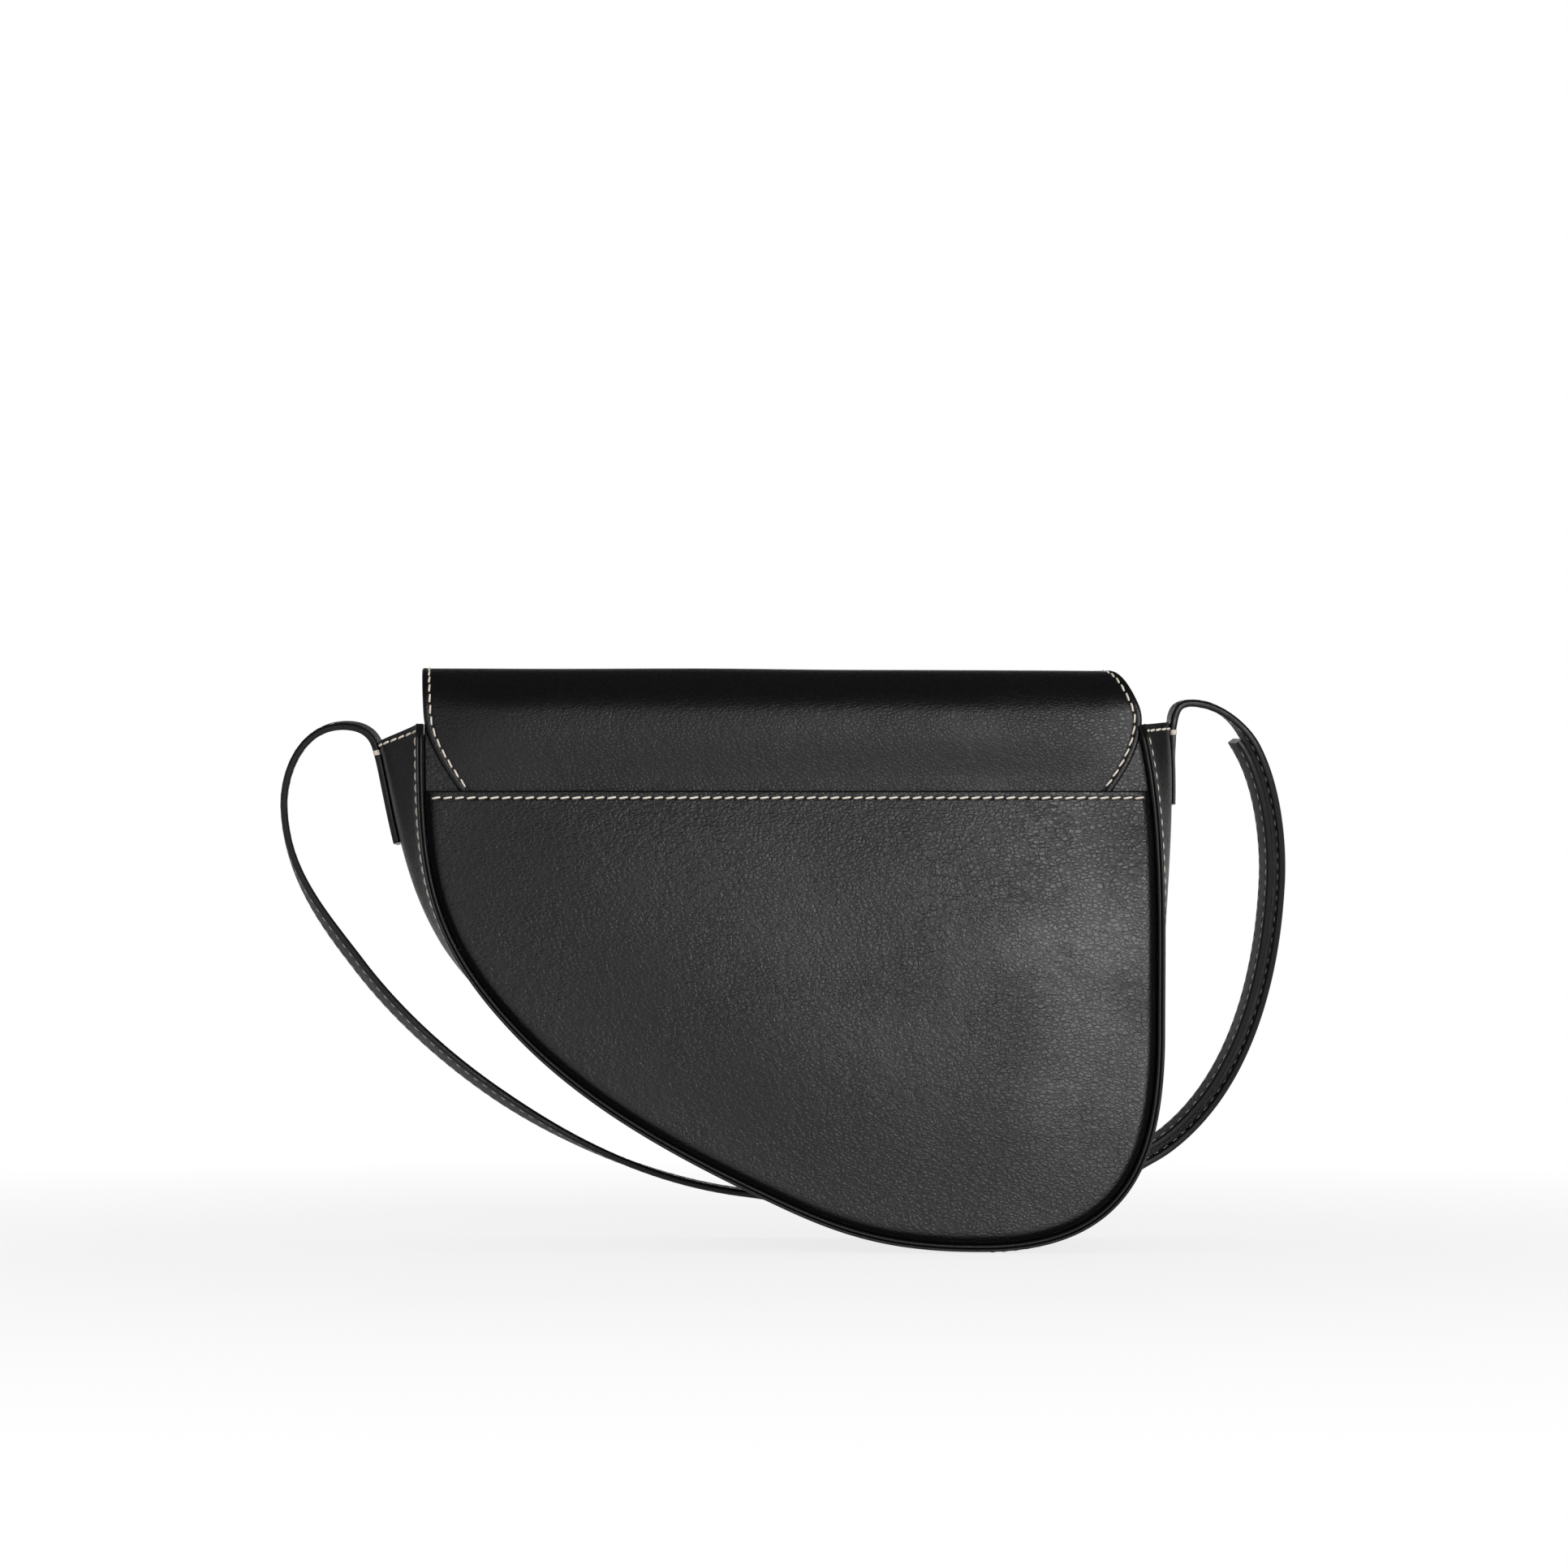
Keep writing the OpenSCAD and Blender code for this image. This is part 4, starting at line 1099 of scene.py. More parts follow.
# %% [markdown]
# ## Strap
# The strap is two layers of leather, 20 mm wide, sewn along both edges. Its middle line runs
# from the left loop down in front of the bag and up to the right loop. Each end turns over
# its loop into a tab on the gusset. A cross-section is carried along this line. The strap is
# slightly twisted: behind the left loop its outer side shows, and in the right loop its inner
# side, as in a strap that hangs freely. It can also be swung upright. A smooth bend between the
# two places would pinch it after half a turn, so it is cut at the top of each loop, where the
# swing's axis passes: the ends stay with the pouch, the rest swings, and at both limits the
# cross-section comes to lie on itself.

# %% Middle line of the strap
STRAP_LEFT_KNOTS = [
    [-0.107, 1.006, 180, 0, 0.084],
    [-0.1915, 0.849, -90, 0.066, 0.123],
    [-0.0955, 0.541, -54, 0.117, 0.276],
    [0.433, 0.0905, -7, 0.29, 0.12],
    [0.65, 0.066, 5, 0.12, 0],
]
STRAP_RIGHT_KNOTS = [
    [1.004, 0.158, 30.5, 0.07, 0.216],
    [1.171, 0.707, 90, 0.203, 0.135],
    [1.0465, 1.049, 180, 0.13, 0],
]
BAR_Y = 48.0
BAR_LONG = 72.0
BAR_ANGLE = 5.0
BAR_WAY = np.array([math.cos(math.radians(BAR_ANGLE)), math.sin(math.radians(BAR_ANGLE))])
BUCKLE_SHARE = 0.3
WIRE_R = 1.4
EYE_R = WIRE_R + SEAM_GAP + STRAP_T / 2
LIFT_HIGH = EYE_R + 0.2 + STRAP_T / 2
LIFT_TAIL = STRAP_T + 1.9
BUCKLE_LONG = 14.0

bar_start = knot(STRAP_LEFT_KNOTS[-1])
bar_end = bar_start + BAR_LONG * BAR_WAY
buckle_at = bar_start + BUCKLE_SHARE * BAR_LONG * BAR_WAY
rise_knot = STRAP_RIGHT_KNOTS[0]
after_bar = bezier(
    bar_end,
    bar_end + reach(BAR_ANGLE, 0.07),
    knot(rise_knot) - reach(rise_knot[2], rise_knot[3]),
    knot(rise_knot),
    80,
)
left_flat = through(STRAP_LEFT_KNOTS, 120)
right_flat = through(STRAP_RIGHT_KNOTS, 120)
left_top, left_foot = (STRAP_LEFT_KNOTS[k][1] * BODY_H for k in (0, 3))
right_top, right_foot = (STRAP_RIGHT_KNOTS[k][1] * BODY_H for k in (2, 0))


def forward(flat, top, foot):
    """Depth from the height: 0 at the loop's top and in front of the bag at its foot, smoothly."""
    return BAR_Y * smooth((top - flat[:, 1]) / (top - foot))


def in_space(flat, y):
    """Points of a flat path at depths y."""
    return np.stack([flat[:, 0], np.broadcast_to(y, len(flat)), flat[:, 1]], axis=-1)


def tab_line(knots, low, high):
    """Middle line of a sewn tab: on the gusset, at mid depth, from its low to its high end."""
    a, b = knots
    t = np.linspace(low, high, 40)[:, None]
    points = [knot(a), knot(a) + reach(a[2], a[4]), knot(b) - reach(b[2], b[3]), knot(b)]
    p = (1 - t) ** 3 * points[0] + 3 * (1 - t) ** 2 * t * points[1]
    p = p + 3 * (1 - t) * t**2 * points[2] + t**3 * points[3]
    way = (1 - t) ** 2 * (points[1] - points[0]) + 2 * (1 - t) * t * (points[2] - points[1])
    way = unit(way + t**2 * (points[3] - points[2]))
    outward = np.stack([way[:, 1], -way[:, 0]], axis=-1)
    return gusset_point(p, outward, np.zeros(len(p)), -(STRAP_T / 2 + 0.3))


def root_line(start, heading, away, back, top, top_heading):
    """From the tab's upper end to the top of the loop."""
    begin = start[[0, 2]]
    flat = bezier(begin, begin + reach(heading, away), top - reach(top_heading, back), top, 40)
    return in_space(flat, 0.0)


left_tab = tab_line(OUTLINE_KNOTS[:2], 0.31, 0.03)
right_tab = tab_line(OUTLINE_KNOTS[4:], 0.72, 0.97)
left_root = root_line(left_tab[-1], 100, 0.036, 0.034, knot(STRAP_LEFT_KNOTS[0]), 180)
right_root = root_line(right_tab[-1], 84, 0.04, 0.032, knot(STRAP_RIGHT_KNOTS[2]), 0)
left_side = in_space(left_flat, forward(left_flat, left_top, left_foot))
bar_line = in_space(np.stack([bar_start, bar_end]), BAR_Y)
right_side_flat = np.vstack([after_bar[:-1], right_flat])
right_side = in_space(right_side_flat, forward(right_side_flat, right_top, right_foot))

upwards = [left_tab[:-1], left_root[:-1], left_side[:-1], bar_line[:-1]]
downwards = [right_side[:-1], right_root[::-1][:-1], right_tab[::-1]]
whole_line = np.vstack(upwards + downwards)
STRAP_LINE = evenly(whole_line, 1600)
STRAP_RUN = tape(STRAP_LINE)
print("strap from tab to tab:", round(STRAP_RUN[-1]), "mm")


def run_at(point):
    """Distance along the strap of the place nearest to a point."""
    return STRAP_RUN[np.argmin(np.linalg.norm(STRAP_LINE - point, axis=1))]


LEFT_APEX = run_at(left_side[0])
RIGHT_APEX = run_at(right_side[-1])
BUCKLE_RUN = run_at(np.array([buckle_at[0], BAR_Y, buckle_at[1]]))

# %% [markdown]
# The frame of the cross-section at each point: along the strap, inwards to the middle of the
# loop, and across. The twist turns the last two about the first. It is worked out once for
# the whole strap, so that the pieces of the strap meet without a step.

# %% Frames along the strap
TWIST_LEFT, TWIST_RIGHT, TWIST_ROOT = 7.5, -8.5, 5.0
TOWARDS_VIEWER = 0.0347
strap_way = unit(np.gradient(STRAP_LINE, axis=0))
inward = unit(np.stack([-strap_way[:, 2], 0 * strap_way[:, 0], strap_way[:, 0]], axis=-1))
across = np.cross(inward, strap_way)
strap_z = STRAP_LINE[:, 2]
on_left = (STRAP_RUN > LEFT_APEX) & (STRAP_RUN < BUCKLE_RUN)
on_right = (STRAP_RUN > BUCKLE_RUN + 60) & (STRAP_RUN <= RIGHT_APEX)
twist_left = TWIST_LEFT * smooth((150 - strap_z) / 45) * smooth((strap_z - 20) / 35)
twist_right = TWIST_RIGHT * smooth((197 - strap_z) / 14) * smooth((strap_z - 15) / 20)
past = STRAP_RUN - RIGHT_APEX
twist_root = TWIST_ROOT * smooth(past / 10) * smooth((34 - past) / 14)
turned_out = TOWARDS_VIEWER * np.abs(STRAP_LINE[:, 0] + ORIGIN[0])
twist = turned_out + np.where(on_left, twist_left, 0) + np.where(on_right, twist_right, 0)
twist = twist + np.where(past > 0, twist_root, 0)
from_ends = np.minimum(STRAP_RUN, STRAP_RUN[-1] - STRAP_RUN)
TWIST = np.radians(twist * smooth((from_ends - 28) / 22))
INWARD = inward * np.cos(TWIST)[:, None] + across * np.sin(TWIST)[:, None]
ACROSS = across * np.cos(TWIST)[:, None] - inward * np.sin(TWIST)[:, None]

STRAP_STITCH = 2.5
STRAP_THREAD = 0.65
STRAP_SUNK = 0.48
half_side = STRAP_W / 2 - EDGE_SHARE * STRAP_T
row_at = STRAP_W / 2 - STRAP_STITCH
near_row = row_at + np.array([-0.6, -0.25, 0, 0.25, 0.6])
side_places = np.concatenate([[0, 3.5, 6.0], near_row, [half_side - 0.2, half_side]])
STRAP_SIDE = np.concatenate([-side_places[:0:-1], side_places])
GLUE_NOTCH = 0.22
STRAP_PLACES, STRAP_LAYERS = strip_section(STRAP_W / 2, STRAP_SIDE, STRAP_T, GLUE_NOTCH)
STRAP_STEP = 1.2
ROW_CHANNEL_DEEP, ROW_CHANNEL_WIDE = 0.22, 0.36


def along_strap(start, end):
    """Even distances along the strap between two of them."""
    return np.linspace(start, end, max(2, int((end - start) / STRAP_STEP)))


def strap_frame(runs):
    """Middle point, inward and across directions of the strap at distances along it."""
    return (
        read_off(STRAP_LINE, STRAP_LINE, runs),
        unit(read_off(STRAP_LINE, INWARD, runs)),
        unit(read_off(STRAP_LINE, ACROSS, runs)),
    )


def strap_piece(name, runs, lift=0.0, skived=0.0):
    """The strap's cross-section carried along those distances, lifted to the inside. Where it
    is skived, its outer part is taken off by that share of the thickness."""
    middle, inwards, sideways = strap_frame(runs)
    middle = middle + inwards * np.broadcast_to(lift, len(runs))[:, None]
    on_face = (STRAP_LAYERS == 0) | (STRAP_LAYERS == 1)
    from_row = np.abs(STRAP_PLACES) - row_at
    press = channel(from_row, ROW_CHANNEL_DEEP, ROW_CHANNEL_WIDE) * on_face
    through_t = (STRAP_LAYERS - 0.5) * STRAP_T
    through_t = through_t - np.sign(through_t) * press
    left_over = 1 - np.broadcast_to(skived, len(runs))[:, None]
    through_t = (through_t + STRAP_T / 2) * left_over - STRAP_T / 2
    points = middle[:, None] + sideways[:, None] * STRAP_PLACES[:, None]
    points = points + inwards[:, None] * through_t[..., None]
    finishes = [leather_strap, painted_edge, leather_back]
    return band(name, points, section_marks(STRAP_LAYERS, 2), finishes)


def strap_seams(name, runs, lift=0.0, skived=0.0, sunk=STRAP_SUNK):
    """The rows of stitches near both edges, on both faces of a piece of the strap."""
    middle, inwards, sideways = strap_frame(runs)
    middle = middle + inwards * np.broadcast_to(lift, len(runs))[:, None]
    taken_off = STRAP_T * np.broadcast_to(skived, len(runs))[:, None]
    rows = []
    for face, high in ((-1, STRAP_T / 2 + 0 * taken_off), (1, STRAP_T / 2 - taken_off)):
        base = middle + inwards * face * (high - sunk)
        for edge in (-1, 1):
            line = base + sideways * edge * row_at
            rows.append(seam_points(line, inwards * face, 4 * edge, thread=STRAP_THREAD))
    return seams(name, rows)


# %% Strap ends and loops
# The cut faces lean by a degree or two against the swing's axis, so each half stops short.
LOOP_CLEAR = 0.08
LOOP_GAP = 0.3
SEAM_END = 1.5
left_runs = along_strap(0.0, LEFT_APEX - LOOP_CLEAR)
right_runs = along_strap(RIGHT_APEX + LOOP_CLEAR, STRAP_RUN[-1])
strap_left_end = strap_piece("strap_left_end", left_runs)


def right_skived(runs):
    """The right tab is skived to half its thickness over its last 30 mm."""
    return 0.5 * smooth((runs - STRAP_RUN[-1] + 30) / 15)


strap_right_end = strap_piece("strap_right_end", right_runs, skived=right_skived(right_runs))
left_seam_runs = along_strap(SEAM_END, LEFT_APEX - LOOP_GAP)
strap_left_thread = strap_seams("strap_left_end_thread", left_seam_runs, sunk=0.6)
right_seam_runs = along_strap(RIGHT_APEX + LOOP_GAP, STRAP_RUN[-1] - SEAM_END)
strap_right_thread = strap_seams(
    "strap_right_end_thread", right_seam_runs, skived=right_skived(right_seam_runs)
)
belongs(strap_left_end, "pouch", "black_leather", "strap_end_left")
belongs(strap_right_end, "pouch", "black_leather", "strap_end_right")
belongs(strap_left_thread, "pouch", "cream_thread")
belongs(strap_right_thread, "pouch", "cream_thread")

# %% [markdown]
# The long part comes from the left loop, lies over the buckle's front bar, passes through the
# two keepers and ends as a free tail inside the right loop. The short part starts as an eye
# round the buckle's heel bar and goes up to the right loop.

# %% Long part of the strap
TAIL_SHARE = 0.67
TAIL_STEPS = 1000
last_curve = through(STRAP_RIGHT_KNOTS[1:], TAIL_STEPS + 1)
tail_flat = last_curve[int(TAIL_SHARE * TAIL_STEPS)][None]
TAIL_RUN = run_at(in_space(tail_flat, forward(tail_flat, right_top, right_foot))[0])


def long_lift(runs):
    """How far the long part lies inside the strap's line: 0 before the buckle, then raised over
    it, and one strap's thickness and a little air along the tail."""
    s = runs - BUCKLE_RUN
    before = LIFT_HIGH * smooth((s + BUCKLE_LONG - 1) / (BUCKLE_LONG - 3))
    after = LIFT_HIGH + (LIFT_TAIL - LIFT_HIGH) * smooth((s - 3) / BUCKLE_LONG)
    return np.where(s < 0, before, after)


long_runs = along_strap(LEFT_APEX + LOOP_CLEAR, TAIL_RUN)
strap_long = strap_piece("strap_long_leather", long_runs, long_lift(long_runs))

# %% [markdown]
# The holes are punched with a round tool, and the prong's slot is two such holes with the
# leather between them cut away, so that the prong has room to turn. A grid of points has no
# hole of its own, so the tools are made as small bodies here too, and Boolean modifiers take
# them out of the strap. The walls of the holes are painted like the edges.

# %% Punched holes of the long part
HOLE_D = 3.4
HOLE_PITCH = 25.0
SLOT_LONG = 12.0
SLOT_AT = -5.0
HOLE_SIDES = 32


def punch(name, run, stretch=0.0):
    """A round rod that stands through the long part, as the punch does. A stretch draws its
    circle out along the strap to a slot with round ends."""
    middle, inwards, sideways = (v[0] for v in strap_frame(np.array([run])))
    onwards = unit(np.cross(sideways, inwards))
    turn = np.linspace(0, 2 * np.pi, HOLE_SIDES, endpoint=False)
    to_side = np.outer(HOLE_D / 2 * np.sin(turn), sideways)
    forth = HOLE_D / 2 * np.cos(turn) + stretch / 2 * np.sign(np.cos(turn).round(6))
    ring = middle + inwards * long_lift(run) + to_side + np.outer(forth, onwards)
    ends = np.stack([ring + inwards * k for k in (-2 * STRAP_T, 2 * STRAP_T)])
    return band(name, ends, np.ones(HOLE_SIDES), [painted_edge, painted_edge])


def cut_out(piece, tools):
    """Takes the tools' bodies out of a piece with Boolean modifiers, keeps the result as its
    mesh and removes the tools. The walls of the holes get the tools' material number."""
    for tool in tools:
        cut = piece.modifiers.new("hole", "BOOLEAN")
        cut.operation = "DIFFERENCE"
        cut.solver = "EXACT"
        cut.object = tool
    seen = piece.evaluated_get(bpy.context.evaluated_depsgraph_get())
    mesh = bpy.data.meshes.new_from_object(seen)
    mesh.set_sharp_from_angle(angle=SHARP_ANGLE)
    piece.modifiers.clear()
    piece.data = mesh
    for tool in tools:
        bpy.data.objects.remove(tool)
    print(f"{piece.name}: {len(tools)} holes, {len(mesh.polygons)} faces")


holes = [punch("hole", BUCKLE_RUN + k * HOLE_PITCH) for k in (-1, 1, 2)]
cut_out(strap_long, holes + [punch("slot", BUCKLE_RUN + SLOT_AT, SLOT_LONG - HOLE_D)])

# %% Stitches and short part
seam_runs = along_strap(LEFT_APEX + LOOP_GAP, TAIL_RUN - SEAM_END)
strap_long_thread = strap_seams("strap_long_thread", seam_runs, long_lift(seam_runs))
short_runs = along_strap(BUCKLE_RUN + EYE_R - 0.5, RIGHT_APEX - LOOP_CLEAR)
strap_short = strap_piece("strap_short_leather", short_runs)
short_seam_runs = along_strap(BUCKLE_RUN + EYE_R + 2, RIGHT_APEX - LOOP_GAP)
strap_short_thread = strap_seams("strap_short_thread", short_seam_runs)
belongs(strap_long, "strap", "black_leather", "strap_long")
belongs(strap_short, "strap", "black_leather", "strap_short")
belongs(strap_long_thread, "strap", "cream_thread")
belongs(strap_short_thread, "strap", "cream_thread")

# %% [markdown]
# ## Stitched seams of the pouch and the flap
# Now the cream rows follow: one below the pocket's mouth, one round the flap, one along each
# rim on the gusset, and one along each of the gusset's upper edges, which ends in a bar tack
# against the strap.

# %% Pocket mouth and flap
mouth_x = np.linspace(0.006, 0.994, 300)
mouth_ends = [panel_loop(PANEL_INSET - 0.4, MOUTH_Z - STITCH_DROP)[k] for k in (0, SIDE_COUNT - 1)]
mouth_line = mouth_ends[0] + (mouth_ends[1] - mouth_ends[0]) * mouth_x[:, None]
mouth_y = pocket_depth(mouth_line, rim_distance(mouth_line))
mouth_path = np.stack([mouth_line[:, 0], -mouth_y, mouth_line[:, 1]], axis=-1)
mouth_up = np.broadcast_to([0.0, -1.0, 0.0], mouth_path.shape)
pocket_thread = seams("back_pocket_thread", [seam_points(mouth_path, mouth_up, 9)])
belongs(pocket_thread, "pouch", "cream_thread")
FLAP_THREAD = 0.72


def flap_seam(path, low_z, side, slant):
    """Rows along the flap's edge, down to a height, on its outer surface."""
    line = inner_edge(path, FLAP_STITCH)
    base = over_top(line[:, 0], line[:, 1], 0.25, side)
    up = base - over_top(line[:, 0], line[:, 1], 1.25, side)
    keep = (base[:, 2] > low_z) & (line[:, 1] > 0.5)
    splits = np.flatnonzero(np.diff(keep.astype(int)) != 0) + 1
    parts = [k for k in np.split(np.arange(len(base)), splits) if keep[k[0]]]
    return [seam_points(base[k], up[k], slant, thread=FLAP_THREAD) for k in parts]


flap_rear_thread = seams("flap_rear_thread", flap_seam(REAR_EDGE, MOUTH_Z + 0.5, -1, -6))
across_hinge(flap_rear_thread)
flap_front_thread = seams("flap_front_thread", flap_seam(FRONT_EDGE, 0, 1, 6))
across_hinge(flap_front_thread)


# %% Gusset seams
def gusset_row(y):
    """Path along the gusset's outer surface at a depth, and its outward direction."""
    keep = (GUSSET_RUN > MOUTH_DROP) & (GUSSET_RUN < GUSSET_RUN[-1] - MOUTH_DROP)
    low = 1 - smooth((GUSSET_PATH[keep, 1] - LOW_END) / LOW_FADE)
    right = smooth((GUSSET_PATH[keep, 0] - 200) / 40)
    inset = RIM_SUNK + RIM_RIGHT * right - (RIM_SUNK + RIM_PROUD) * (1 - low)
    path = gusset_point(GUSSET_PATH[keep], GUSSET_OUT[keep], np.full(keep.sum(), y), inset)
    up = in_space(GUSSET_OUT[keep], 0.0)
    up[:, 1] = 0.35 * np.sign(y)
    return path, up


def gusset_across(run, y_from, y_to):
    """Path across the gusset at a distance along it, and the surface's normal."""
    y = np.linspace(y_from, y_to, 80)
    near = [read_off(GUSSET_PATH, v, np.full(80, run)) for v in (GUSSET_PATH, GUSSET_OUT)]
    beside = [read_off(GUSSET_PATH, v, np.full(80, run + 1.0)) for v in (GUSSET_PATH, GUSSET_OUT)]
    path = gusset_point(near[0], near[1], y, 0.1)
    step = gusset_point(beside[0], beside[1], y, 0.1) - path
    up = unit(np.cross(np.gradient(path, axis=0), step))
    outward = in_space(near[1], 0.0)
    return path, up * np.sign((up * outward).sum(axis=1))[:, None]


RIM_SUNK = 0.29
RIM_PROUD = 0.1
RIM_RIGHT = 0.25
TAB_HALF = STRAP_W / 2 + 0.8
MOUTH_DROP = 2.4
gusset_rows_made = [seam_points(*gusset_row(y), 6) for y in (-SEAM_Y, SEAM_Y)]
for run in (MOUTH_DROP, GUSSET_RUN[-1] - MOUTH_DROP):
    for side in (-1, 1):
        path, up = gusset_across(run, side * 31.5, side * TAB_HALF)
        gusset_rows_made.append(seam_points(path, up, 5))
gusset_thread = seams("gusset_thread", gusset_rows_made)
belongs(gusset_thread, "pouch", "cream_thread")

# %% [markdown]
# A bar tack is a few tight stitches side by side. Here they bind both edges of the strap to
# the gusset, at the height where the strap leaves it.

# %% Bar tacks and tab ends
TACK_PITCH = 0.6
TACK_COUNT = 3


def tack_rows(run):
    """Short stitches from the strap's face round its edge to the gusset, side by side."""
    rows = []
    places = run + (np.arange(TACK_COUNT) - (TACK_COUNT - 1) / 2) * TACK_PITCH
    middle, inwards, sideways = strap_frame(places)
    for edge in (-1, 1):
        corner = middle + sideways * edge * (STRAP_W / 2 + 0.15)
        for k in range(TACK_COUNT):
            arc = np.linspace(-1, 1, 9)[:, None]
            path = corner[k] + inwards[k] * arc * 1.5 - sideways[k] * edge * (arc**2) * 0.7
            up = np.broadcast_to(sideways[k] * edge, path.shape)
            rows.append(seam_points(path, up, 0, long=3.0, pitch=9, thread=0.6))
    return rows


left_tack_run = tape(left_tab)[-1] - 1.0
right_tack_run = STRAP_RUN[-1] - tape(right_tab)[-1] + 1.0
tacks = seams("strap_bar_tacks", tack_rows(left_tack_run) + tack_rows(right_tack_run))
belongs(tacks, "pouch", "cream_thread")


# %% [markdown]
# ## Buckle, prong, eye and keepers
# The buckle is bent from brass wire: a heel bar inside the strap's eye and a front bar that
# the long part lies under. The prong is a flattened wire wound round the heel bar. The keepers
# are narrow leather loops. All are made in the buckle's own directions: along the strap,
# across it, and inwards.

# %% Buckle directions
BUCKLE_PLACE = np.array([buckle_at[0], BAR_Y, buckle_at[1]])
ALONG = np.array([BAR_WAY[0], 0, BAR_WAY[1]])
OVER = np.array([0, 1.0, 0])
INSIDE = np.array([-BAR_WAY[1], 0, BAR_WAY[0]])


def at_buckle(a, b, c):
    """Place from distances along the strap, across it and to its inside, from the heel bar."""
    return BUCKLE_PLACE + a[..., None] * ALONG + b[..., None] * OVER + c[..., None] * INSIDE


STRAP_ROOM = 0.3
FRAME_HALF = STRAP_W / 2 + STRAP_ROOM + WIRE_R
BAR_LIFT = STRAP_T / 2 + 0.2 + WIRE_R
CORNER = 3.0


def rounded_frame(half_long, half_wide, corner, count):
    """Closed path of a rectangle with round corners, in even steps."""
    angle = np.linspace(0, 2 * np.pi, 4 * 24, endpoint=False) + np.pi / 192
    quarter = np.floor(angle / (np.pi / 2)) * (np.pi / 2) + np.pi / 4
    signs = np.sign(np.stack([np.cos(quarter), np.sin(quarter)], axis=-1))
    centre = signs * np.array([half_long - corner, half_wide - corner])
    path = centre + corner * np.stack([np.cos(angle), np.sin(angle)], axis=-1)
    return evenly(np.vstack([path, path[:1]]), count + 1)[:-1]


def closed_way(path):
    """Unit direction along a closed path."""
    return unit(np.roll(path, -1, axis=0) - np.roll(path, 1, axis=0))


frame_path = rounded_frame(BUCKLE_LONG / 2, FRAME_HALF, CORNER, 160)
frame_way = closed_way(frame_path)
frame_out = np.stack([frame_way[:, 1], -frame_way[:, 0]], axis=-1)
wire_turn = np.linspace(0, 2 * np.pi, 20, endpoint=False)
wire_flat = frame_path[:, None] + WIRE_R * np.cos(wire_turn)[:, None] * frame_out[:, None]
wire_a = wire_flat[..., 0] - BUCKLE_LONG / 2
wire_c = -wire_a / BUCKLE_LONG * BAR_LIFT + WIRE_R * np.sin(wire_turn)
wire_points = at_buckle(wire_a, wire_flat[..., 1], wire_c)
buckle_wire = hoop("buckle_wire", wire_points, np.zeros(len(wire_turn), int), [light_brass])
belongs(buckle_wire, "strap", "brass", "buckle_frame")

# %% Prong
PRONG_R = 1.0
PRONG_THIN = 0.55
wound_r = WIRE_R + SEAM_GAP + PRONG_THIN
wound = np.radians(np.linspace(-250, 62, 60))
wound_path = np.stack([-wound_r * np.sin(wound), wound_r * np.cos(wound)], axis=-1)
tip = np.array([-BUCKLE_LONG - 3.2, BAR_LIFT + WIRE_R + PRONG_R + 0.05])
start_shaft = np.argmin(np.abs(np.degrees(wound)))
shaft_start = wound_path[start_shaft]
shaft = bezier(shaft_start, shaft_start + [-2.5, 0], tip + [6.0, -1.2], tip, 60)
prong_path = evenly(np.vstack([wound_path[: start_shaft + 1], shaft[1:]]), 120)
prong_run = tape(prong_path)
prong_way = unit(np.gradient(prong_path, axis=0))
prong_side = np.stack([-prong_way[:, 1], prong_way[:, 0]], axis=-1)
onto_shaft = smooth((prong_run - prong_run[-1] + 16) / 6)
rounded_tip = np.sqrt(np.clip((prong_run[-1] - prong_run + 0.02) / PRONG_R, 0, 1))
rounded_tip = np.where(prong_run > prong_run[-1] - PRONG_R, rounded_tip, 1)
thin = (PRONG_THIN + (PRONG_R - PRONG_THIN) * onto_shaft) * rounded_tip
wide = PRONG_R * rounded_tip
ring_turn = np.linspace(0, 2 * np.pi, 16, endpoint=False)
prong_flat = prong_path[:, None] + (thin[:, None] * np.cos(ring_turn))[..., None] * prong_side[:, None]
prong_b = wide[:, None] * np.sin(ring_turn)
prong_mesh = band(
    "buckle_prong_wire",
    at_buckle(prong_flat[..., 0], prong_b, prong_flat[..., 1]),
    np.zeros(len(ring_turn), int),
    [light_brass, light_brass],
)
belongs(prong_mesh, "prong", "brass", "buckle_prong")

# %% Eye of the short part and the two keepers
eye_turn = np.linspace(0, 2 * np.pi, 48, endpoint=False)
SLOT_HALF = 2.0
outer_b = [SLOT_HALF, SLOT_HALF + 0.3, 9.0, 9.6, 9.9]
outer_r = [EYE_R - 0.2, EYE_R, EYE_R, EYE_R - 0.2, EYE_R - 0.6]
eye_section_b = np.array(outer_b + outer_b[::-1])
eye_section_r = np.array(outer_r + [1.9, 1.55, 1.52, 1.52, 1.7])
for number, side in ((1, -1), (2, 1)):
    radius = np.broadcast_to(eye_section_r, (48, 10))
    eye_a = radius * np.cos(eye_turn)[:, None]
    eye_c = radius * np.sin(eye_turn)[:, None]
    eye = hoop(
        f"strap_eye_{number}",
        at_buckle(eye_a, np.broadcast_to(side * eye_section_b, (48, 10)), eye_c),
        np.array([0, 0, 0, 1, 1, 0, 0, 0, 0, 0]),
        [leather_strap, painted_edge],
    )
    belongs(eye, "strap", "black_leather")


KEEPER_T = 1.3
KEEPER_HALF = 4.0


